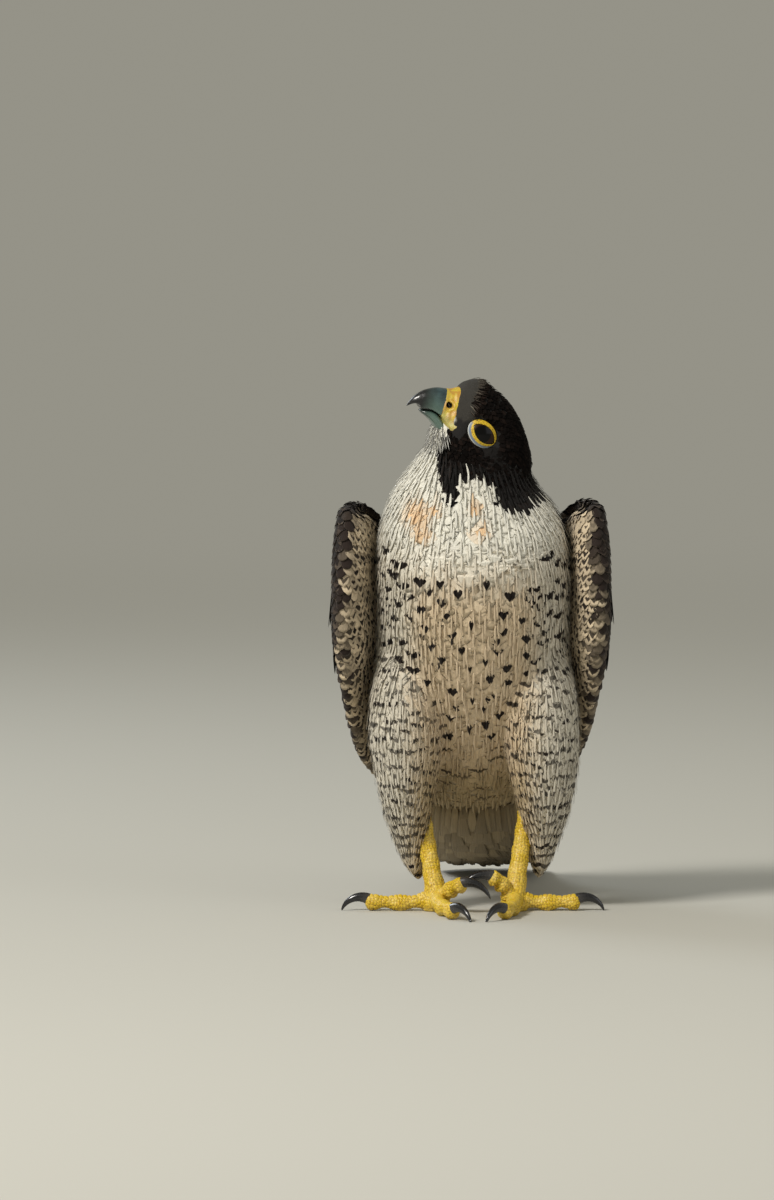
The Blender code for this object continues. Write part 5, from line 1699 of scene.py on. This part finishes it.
def make_cere(finishes):
    """Soft skin from the horn back onto the face: point = (1 - k) * back edge on the face + k * bill ring,
    where k eases from 0 to 1, with the nostrils pressed in and a ridge round each."""
    count, sides = 80, 144
    v = np.linspace(0, 1, count)
    rings = bill_rings(0.5 + (CERE_ENDS + 0.02 - 0.5) * v**0.8, sides)
    back = rings[0].copy()
    back[:, 0] = np.interp(back[:, 2], CERE_BACK[:, 0], CERE_BACK[:, 1]) - 2.2
    back[:, 1] *= 1.25
    on_face = to_head(ground(from_head(back), lambda p: coat_depth(p) - 0.25, 6)[0])
    on_face[:, 0] = on_face[:, 0] * 0.5 + back[:, 0] * 0.5
    k = step(v, 0.0, 0.75)[:, None, None]
    local = on_face[None] * (1 - k) + rings * k
    outward = np.sign(local[..., 1]) * step(np.abs(local[..., 1]), 2, 5)
    far = np.hypot(local[..., 0] - NOSTRIL_AT[0], local[..., 2] - NOSTRIL_AT[2])
    far = np.where(np.abs(local[..., 1]) > 3, far, 99)
    pit = step(far, NOSTRIL_RADIUS + 0.15, NOSTRIL_RADIUS - 0.35)
    rod = step(far, 0.75, 0.35)
    rim = np.exp(-(((far - NOSTRIL_RADIUS - 0.6) / 0.5) ** 2))
    f, u = local[..., 0], local[..., 2]
    fold = np.sin(f * 1.1 + u * 0.6) + 0.6 * np.sin(f * 2.3 - u * 1.3)
    local[..., 1] += outward * (-2.6 * pit + 1.7 * rod + 0.40 * rim + 0.14 * fold * (1 - pit))
    # The share of painted shade in the nostril pits, which stands for the depth of their openings; the
    # tubercle in each gets less.
    hole = np.maximum(pit - 0.5 * rod, 0).ravel()
    own = local.reshape(-1, 3)
    tint = np.stack([hole, step(own[:, 2], -3.5, -8.0), np.repeat(v, sides)], 1)
    tube("cere_skin", from_head(local), finishes["cere"], None, {"tint": tint}, ("cere",))


def horn_looks(own, lower=0.0):
    """The horn's field: how far towards the black tip, how far down the side, and 1 for the lower bill."""
    tip = step(own[:, 0] - 0.45 * own[:, 2], 25.0, 36.0)
    down = step(own[:, 2], 2.0, -10.0)
    return {"tint": np.stack([tip, down, np.full(len(own), lower)], 1)}


# Eyes


OPENING = (6.2, 3.9)  # the slit between the lids, forward and up from its own middle
OPENING_AT = (-0.9, 0.7)


def make_eye(hand, word, finishes):
    """The dark glossy eyeball and the ring of bare skin round its almond opening."""
    centre, axes = eye_axes(hand)
    polar = np.linspace(0.004, np.radians(EYE_DOME), 40)
    turn = np.linspace(0, 2 * np.pi, 64, endpoint=False)
    cap = np.stack([
        np.sin(polar)[:, None] * np.cos(turn),
        np.sin(polar)[:, None] * np.sin(turn),
        np.cos(polar)[:, None] + 0 * turn,
    ], -1)
    ball = centre + EYE_RADIUS * cap @ axes
    share = (polar / polar[-1])[:, None] + 0 * turn
    fields = {"tint": np.stack([share.ravel()] * 3, 1)}
    tube(f"eyeball_{word}", ball, finishes["eye"], None, fields, (f"eye_{word}",))
    a = np.linspace(0, 2 * np.pi, 128, endpoint=False)
    w = np.linspace(0, 1, 22)[:, None]
    pointed = 1 + 0.10 * np.abs(np.cos(a)) ** 6
    inner = np.stack([
        OPENING_AT[0] + OPENING[0] * np.cos(a) * pointed,
        OPENING_AT[1] + OPENING[1] * np.sign(np.sin(a)) * np.abs(np.sin(a)) ** 1.15,
    ])
    outer = np.stack([LID_EDGE[0] * np.cos(a), LID_EDGE[1] * np.sin(a)])
    flat = inner[:, None] * (1 - w) + outer[:, None] * w
    on_ball = np.sqrt(np.maximum(EYE_RADIUS**2 - (flat**2).sum(0), 20))
    folds = 0.35 * np.exp(-(((w - 0.16) / 0.12) ** 2)) + 0.30 * np.exp(-(((w - 0.86) / 0.10) ** 2))
    roll = 0.55 * np.sin(np.pi * np.clip(w * 1.1, 0, 1)) ** 0.5 + folds
    beads = 0.10 * np.sin(a * 40) * np.exp(-(((w - 0.2) / 0.15) ** 2))
    beads = beads + 0.06 * np.sin(a * 63) * np.sin(np.pi * w)
    top = np.stack([flat[0], flat[1], on_ball - 0.2 + roll + beads], -1)
    under = np.stack([flat[0], flat[1], on_ball - 1.3], -1)[::-1]
    points = centre + np.swapaxes(np.concatenate([top, under]), 0, 1) @ axes
    fields = np.empty((128, 44, 3))
    fields[..., 0] = np.concatenate([w[:, 0], w[::-1, 0]])
    fields[..., 1] = np.cos(a)[:, None]
    fields[..., 2] = np.sin(a)[:, None]
    ring_piece(f"lids_{word}", points, fields, finishes["lid"], (f"eyelid_{word}",))


def ring_piece(name, loops, fields, finish, replaces=()):
    """A closed ring: loops of points round its section, one beside another all the way round."""
    count, size = loops.shape[:2]
    i, j = np.meshgrid(np.arange(count), np.arange(size), indexing="ij")
    beside, over = (i + 1) % count, (j + 1) % size
    corners = [i * size + j, beside * size + j, beside * size + over, i * size + over]
    faces = np.stack(corners, -1).reshape(-1, 4)
    points = loops.reshape(-1, 3)
    corner = points[faces]
    middle = loops.mean(1)[faces[:, 0] // size]
    normal = np.cross(corner[:, 1] - corner[:, 0], corner[:, 3] - corner[:, 0])
    if (normal * (corner.mean(1) - middle)).sum() < 0:
        faces = faces[:, ::-1]
    return build(name, points, faces, finish, None, {"tint": fields.reshape(-1, 3)}, None, replaces)


# Finishes of wings and bare parts


def flight_finish():
    """Long feathers: fine slanting barbs, a shaft line, pale edges, and bars where the tail's field asks."""
    made = Finish("long_feathers", Roughness=0.5, Specular_IOR_Level=0.3)
    u, v, _ = made.split(made.node("UVMap", uv_map="Vane").outputs[0])
    tint = made.field("tint")
    tail = made.split(made.field("form"))[2]
    _, pale, seed = made.split(made.field("extra"))
    side = made.calc("MULTIPLY_ADD", u, 2.0, -1.0)
    away = made.calc("ABSOLUTE", side)
    barb = made.calc("SUBTRACT", v, made.calc("MULTIPLY", away, 0.12))
    shift = made.calc("MULTIPLY", seed, 31.0)
    streaks = made.streaked(barb, 150.0, side, 1.2, shift)
    shade = made.ease(streaks, 0.25, 0.75, 0.78, 1.2)
    colour = made.mix(1.0, tint, made.flat(shade), "MULTIPLY")
    wave = made.calc("SINE", made.calc("MULTIPLY_ADD", barb, 62.0, made.calc("MULTIPLY", seed, 2.0)))
    bar = made.calc("MULTIPLY", made.ease(wave, 0.05, 0.5), tail)
    colour = made.mix(made.calc("MULTIPLY", bar, 0.75), colour, (0.12, 0.10, 0.085, 1))
    edge = made.calc("MAXIMUM", made.ease(away, 0.86, 1.0), made.ease(v, 0.955, 0.995))
    colour = made.mix(made.calc("MULTIPLY", edge, pale), colour, (0.25, 0.17, 0.11, 1))
    shaft = made.ease(away, 0.07, 0.03)
    colour = made.mix(made.calc("MULTIPLY", shaft, 0.6), colour, (0.012, 0.009, 0.008, 1))
    made.dress({"Base Color": colour})
    made.bump(made.calc("ADD", streaks, made.calc("MULTIPLY", shaft, 1.5)), 0.4, 0.0004)
    return made.made


def scale_finish():
    """Scaly yellow skin: deep in its grooves, blotched orange and pale, waxy."""
    made = Finish("leg_scales", Roughness=0.42, Specular_IOR_Level=0.5, Subsurface_Weight=0.12,
                  Subsurface_Radius=(0.004, 0.002, 0.0005), Subsurface_Scale=0.3)
    place = made.place()
    blotch = made.noise(place, 160.0, 3.0)
    grain = made.noise(place, 1500.0, 2.0)
    colour = made.mix(made.ease(blotch, 0.35, 0.7, 0.0, 0.4), made.field("tint"), rgb(YELLOW_PALE))
    colour = made.mix(made.ease(grain, 0.52, 0.7, 0.0, 0.5), colour, rgb(YELLOW_DEEP))
    made.dress({"Base Color": colour, "Roughness": made.ease(grain, 0.2, 0.8, 0.34, 0.55)})
    made.bump(grain, 0.35, 0.0003)
    return made.made


def cere_finish():
    """Waxy yellow skin with orange flushes, greenish low down and towards the horn, and painted shade making
    the nostrils dark.
    """
    made = Finish("cere_wax", Roughness=0.4, Subsurface_Weight=0.1, Subsurface_Scale=0.001)
    place = made.place()
    hole, low, front = made.split(made.field("tint"))
    blotch = made.noise(place, 330.0, 3.0)
    colour = made.mix(made.ease(blotch, 0.42, 0.62), (0.62, 0.42, 0.02, 1), (0.50, 0.24, 0.015, 1))
    colour = made.mix(made.calc("MULTIPLY", made.ease(front, 0.0, 1.0), 0.2), colour, (0.40, 0.42, 0.20, 1))
    colour = made.mix(made.calc("MULTIPLY", low, 0.55), colour, (0.36, 0.40, 0.16, 1))
    # Painted shade: the nostril pits are darkened nearly to black for the depth of their openings.
    colour = made.mix(made.ease(hole, 0.15, 0.7), colour, (0.006, 0.004, 0.003, 1))
    made.dress({"Base Color": colour})
    made.bump(made.noise(place, 900.0, 4.0), 0.3, 0.0003)
    return made.made


def horn_finish():
    """Horn: blue-grey, green towards the cutting edge, black at the tip, with faint growth lines."""
    made = Finish("bill_horn", Roughness=0.26, Coat_Weight=0.4, Coat_Roughness=0.15)
    place = made.place()
    tip, down, lower = made.split(made.field("tint"))
    cloud = made.noise(place, 260.0, 3.0)
    turned = made.node("Mapping", {"Vector": place, "Rotation": (0.0, 0.78, 0.0), "Scale": (1.0, 0.35, 3.5)})
    fibre = made.noise(turned.outputs[0], 500.0, 3.0)
    colour = made.mix(made.ease(cloud, 0.3, 0.7), (0.018, 0.036, 0.045, 1), (0.045, 0.085, 0.095, 1))
    colour = made.mix(made.calc("MULTIPLY", down, 0.55), colour, (0.13, 0.20, 0.15, 1))
    colour = made.mix(made.calc("MULTIPLY", lower, 0.5), colour, (0.10, 0.16, 0.13, 1))
    colour = made.mix(tip, colour, (0.006, 0.006, 0.007, 1))
    made.dress({"Base Color": colour, "Roughness": made.ease(fibre, 0.2, 0.8, 0.2, 0.36)})
    made.bump(fibre, 0.12, 0.0003)
    return made.made


def claw_finish():
    """Glossy black claw, greyer and rougher at its root, with fine lines along it."""
    made = Finish("claw_horn", Roughness=0.2, Coat_Weight=0.5, Coat_Roughness=0.12)
    share = made.split(made.field("tint"))[0]
    scuff = made.noise(made.place(), 700.0, 4.0)
    colour = made.mix(made.ease(share, 0.0, 0.35), (0.045, 0.042, 0.042, 1), (0.007, 0.007, 0.009, 1))
    made.dress({"Base Color": colour, "Roughness": made.ease(scuff, 0.3, 0.7, 0.16, 0.32)})
    made.bump(scuff, 0.12, 0.0002)
    return made.made


def eye_finish():
    """A wet dark eye: black pupil in a very dark brown iris under a clear coat."""
    made = Finish("eye_wet", Roughness=0.25, Specular_IOR_Level=0.1, Coat_IOR=1.3, Coat_Weight=0.35,
                  Coat_Roughness=0.02)
    share = made.split(made.field("tint"))[0]
    fleck = made.noise(made.place(), 1400.0, 3.0)
    iris = made.mix(fleck, (0.020, 0.009, 0.004, 1), (0.034, 0.016, 0.007, 1))
    colour = made.mix(made.ease(share, 0.34, 0.42), (0.002, 0.002, 0.002, 1), iris)
    colour = made.mix(made.ease(share, 0.58, 0.66), colour, (0.004, 0.003, 0.003, 1))
    made.dress({"Base Color": colour})
    return made.made


def lid_finish():
    """Bare skin round the eye: yellow, dark next to the eyeball, with painted shade and sky reflection on the
    lower lid: blue-grey across it and pale outside.
    """
    made = Finish("lid_skin", Roughness=0.45)
    share, _, up = made.split(made.field("tint"))
    speck = made.noise(made.place(), 1500.0, 3.0)
    yellow = made.mix(made.ease(speck, 0.45, 0.65), (0.66, 0.45, 0.02, 1), (0.34, 0.20, 0.01, 1))
    # Painted shade and sky reflection on the lower lid: blue-grey from the middle of the ring outwards, and
    # pale at its outer edge.
    low = made.calc("MULTIPLY", made.ease(up, 0.25, -0.1), made.ease(share, 0.42, 0.58))
    colour = made.mix(low, yellow, (0.16, 0.20, 0.26, 1))
    rim = made.calc("MULTIPLY", made.ease(up, 0.3, -0.1), made.ease(share, 0.78, 0.9))
    colour = made.mix(rim, colour, (0.62, 0.64, 0.60, 1))
    inner = made.ease(share, 0.10, 0.02)
    colour = made.mix(inner, colour, (0.02, 0.014, 0.01, 1))
    made.dress({"Base Color": colour})
    made.bump(speck, 0.3, 0.0002)
    return made.made


def make_stage():
    """A wide pale floor that turns into the pale backdrop's own colour far from the bird."""
    mesh = bpy.data.meshes.new("floor")
    corners = [(x * FLOOR_REACH, y * FLOOR_REACH, 0) for x, y in ((-1, -1), (1, -1), (1, 1), (-1, 1))]
    mesh.from_pydata(corners, [], [(0, 1, 2, 3)])
    floor = bpy.data.objects.new("floor", mesh)
    bpy.context.scene.collection.objects.link(floor)
    made = Finish("floor_paper", Roughness=0.9)
    made.dress({"Base Color": (0.56, 0.55, 0.50, 1)})
    far = made.node("VectorMath", {0: made.place()}, operation="LENGTH").outputs["Value"]
    glow = made.node("Emission", {"Color": BACKDROP, "Strength": 1.0})
    blend = made.node("MixShader", {0: made.ease(far, *FLOOR_FADE)})
    made.put(blend.inputs[1], made.shader.outputs[0])
    made.put(blend.inputs[2], glow.outputs[0])
    made.put(made.tree.nodes["Material Output"].inputs["Surface"], blend.outputs[0])
    mesh.materials.append(made.made)
    world = bpy.data.worlds.new("backdrop")
    world.use_nodes = True
    world.node_tree.nodes["Background"].inputs["Color"].default_value = BACKDROP
    world.node_tree.nodes["Background"].inputs["Strength"].default_value = 1.0
    bpy.context.scene.world = world
    aim = Vector(LIGHTS_AIM)
    for name, spot, size, power, colour in LIGHTS:
        lamp = bpy.data.lights.new(name, "AREA")
        lamp.size, lamp.energy, lamp.color = size, power, colour
        obj = bpy.data.objects.new(name, lamp)
        obj.location = spot
        obj.rotation_euler = (aim - Vector(spot)).to_track_quat("-Z", "Y").to_euler()
        bpy.context.scene.collection.objects.link(obj)


FLOOR_REACH = 30.0
FLOOR_FADE = (0.6, 3.5)  # how far from the bird the floor begins and ends turning into the backdrop's colour
BACKDROP = (0.30, 0.29, 0.245, 1)
LIGHTS_AIM = (0, -0.08, 0.15)
# Each light's name, place, size, power and colour.
LIGHTS = (
    ("key", (-1.7, -2.0, 2.2), 0.8, 88, (1.0, 0.97, 0.91)),
    ("fill", (2.0, -1.8, 0.9), 1.6, 9, (0.95, 0.97, 1.0)),
    ("rim", (-1.6, 1.4, 1.5), 1.0, 16, (0.85, 0.92, 1.0)),
)
VIEW_AT = np.array([-43.3, 0.0, 160.7])
VIEW_TALL = 618.0
VIEW_FAR = 4200.0
VIEW_RISE = np.radians(3.5)


def make_camera():
    """A view from far in front and a little above, whose frame reaches past the bird's right."""
    lens = bpy.data.cameras.new("camera")
    lens.sensor_fit = "VERTICAL"
    lens.sensor_height = 24.0
    lens.lens = lens.sensor_height * VIEW_FAR / VIEW_TALL
    lens.clip_start, lens.clip_end = 0.1, 200.0
    camera = bpy.data.objects.new("camera", lens)
    aim = Vector((VIEW_AT - MIDDLE) * MM)
    away = Vector((0, -np.cos(VIEW_RISE), np.sin(VIEW_RISE))) * VIEW_FAR * MM
    camera.location = aim + away
    camera.rotation_euler = (-away).to_track_quat("-Z", "Y").to_euler()
    bpy.context.scene.collection.objects.link(camera)
    bpy.context.scene.camera = camera
    bpy.context.scene.view_settings.view_transform = "Standard"


def main():
    """All materials, then all pieces, the stage and the camera."""
    finishes = {
        "contour": plumage_finish("contour_feathers"),
        "hood": plumage_finish("hood_feathers", 0.0, 0.05, (0.05, 0.03, 0.02)),
        "flight": flight_finish(),
        "down": skin_finish(),
        "leg": scale_finish(),
        "cere": cere_finish(),
        "horn": horn_finish(),
        "claw": claw_finish(),
        "eye": eye_finish(),
        "lid": lid_finish(),
    }
    make_skin(finishes)
    make_body_coat(finishes)
    make_bill(finishes)
    for hand, word in ((1, "left"), (-1, "right")):
        make_wing(word, finishes)
        make_leg(word, finishes)
        make_eye(hand, word, finishes)
    make_tail(finishes)
    make_stage()
    make_camera()


main()
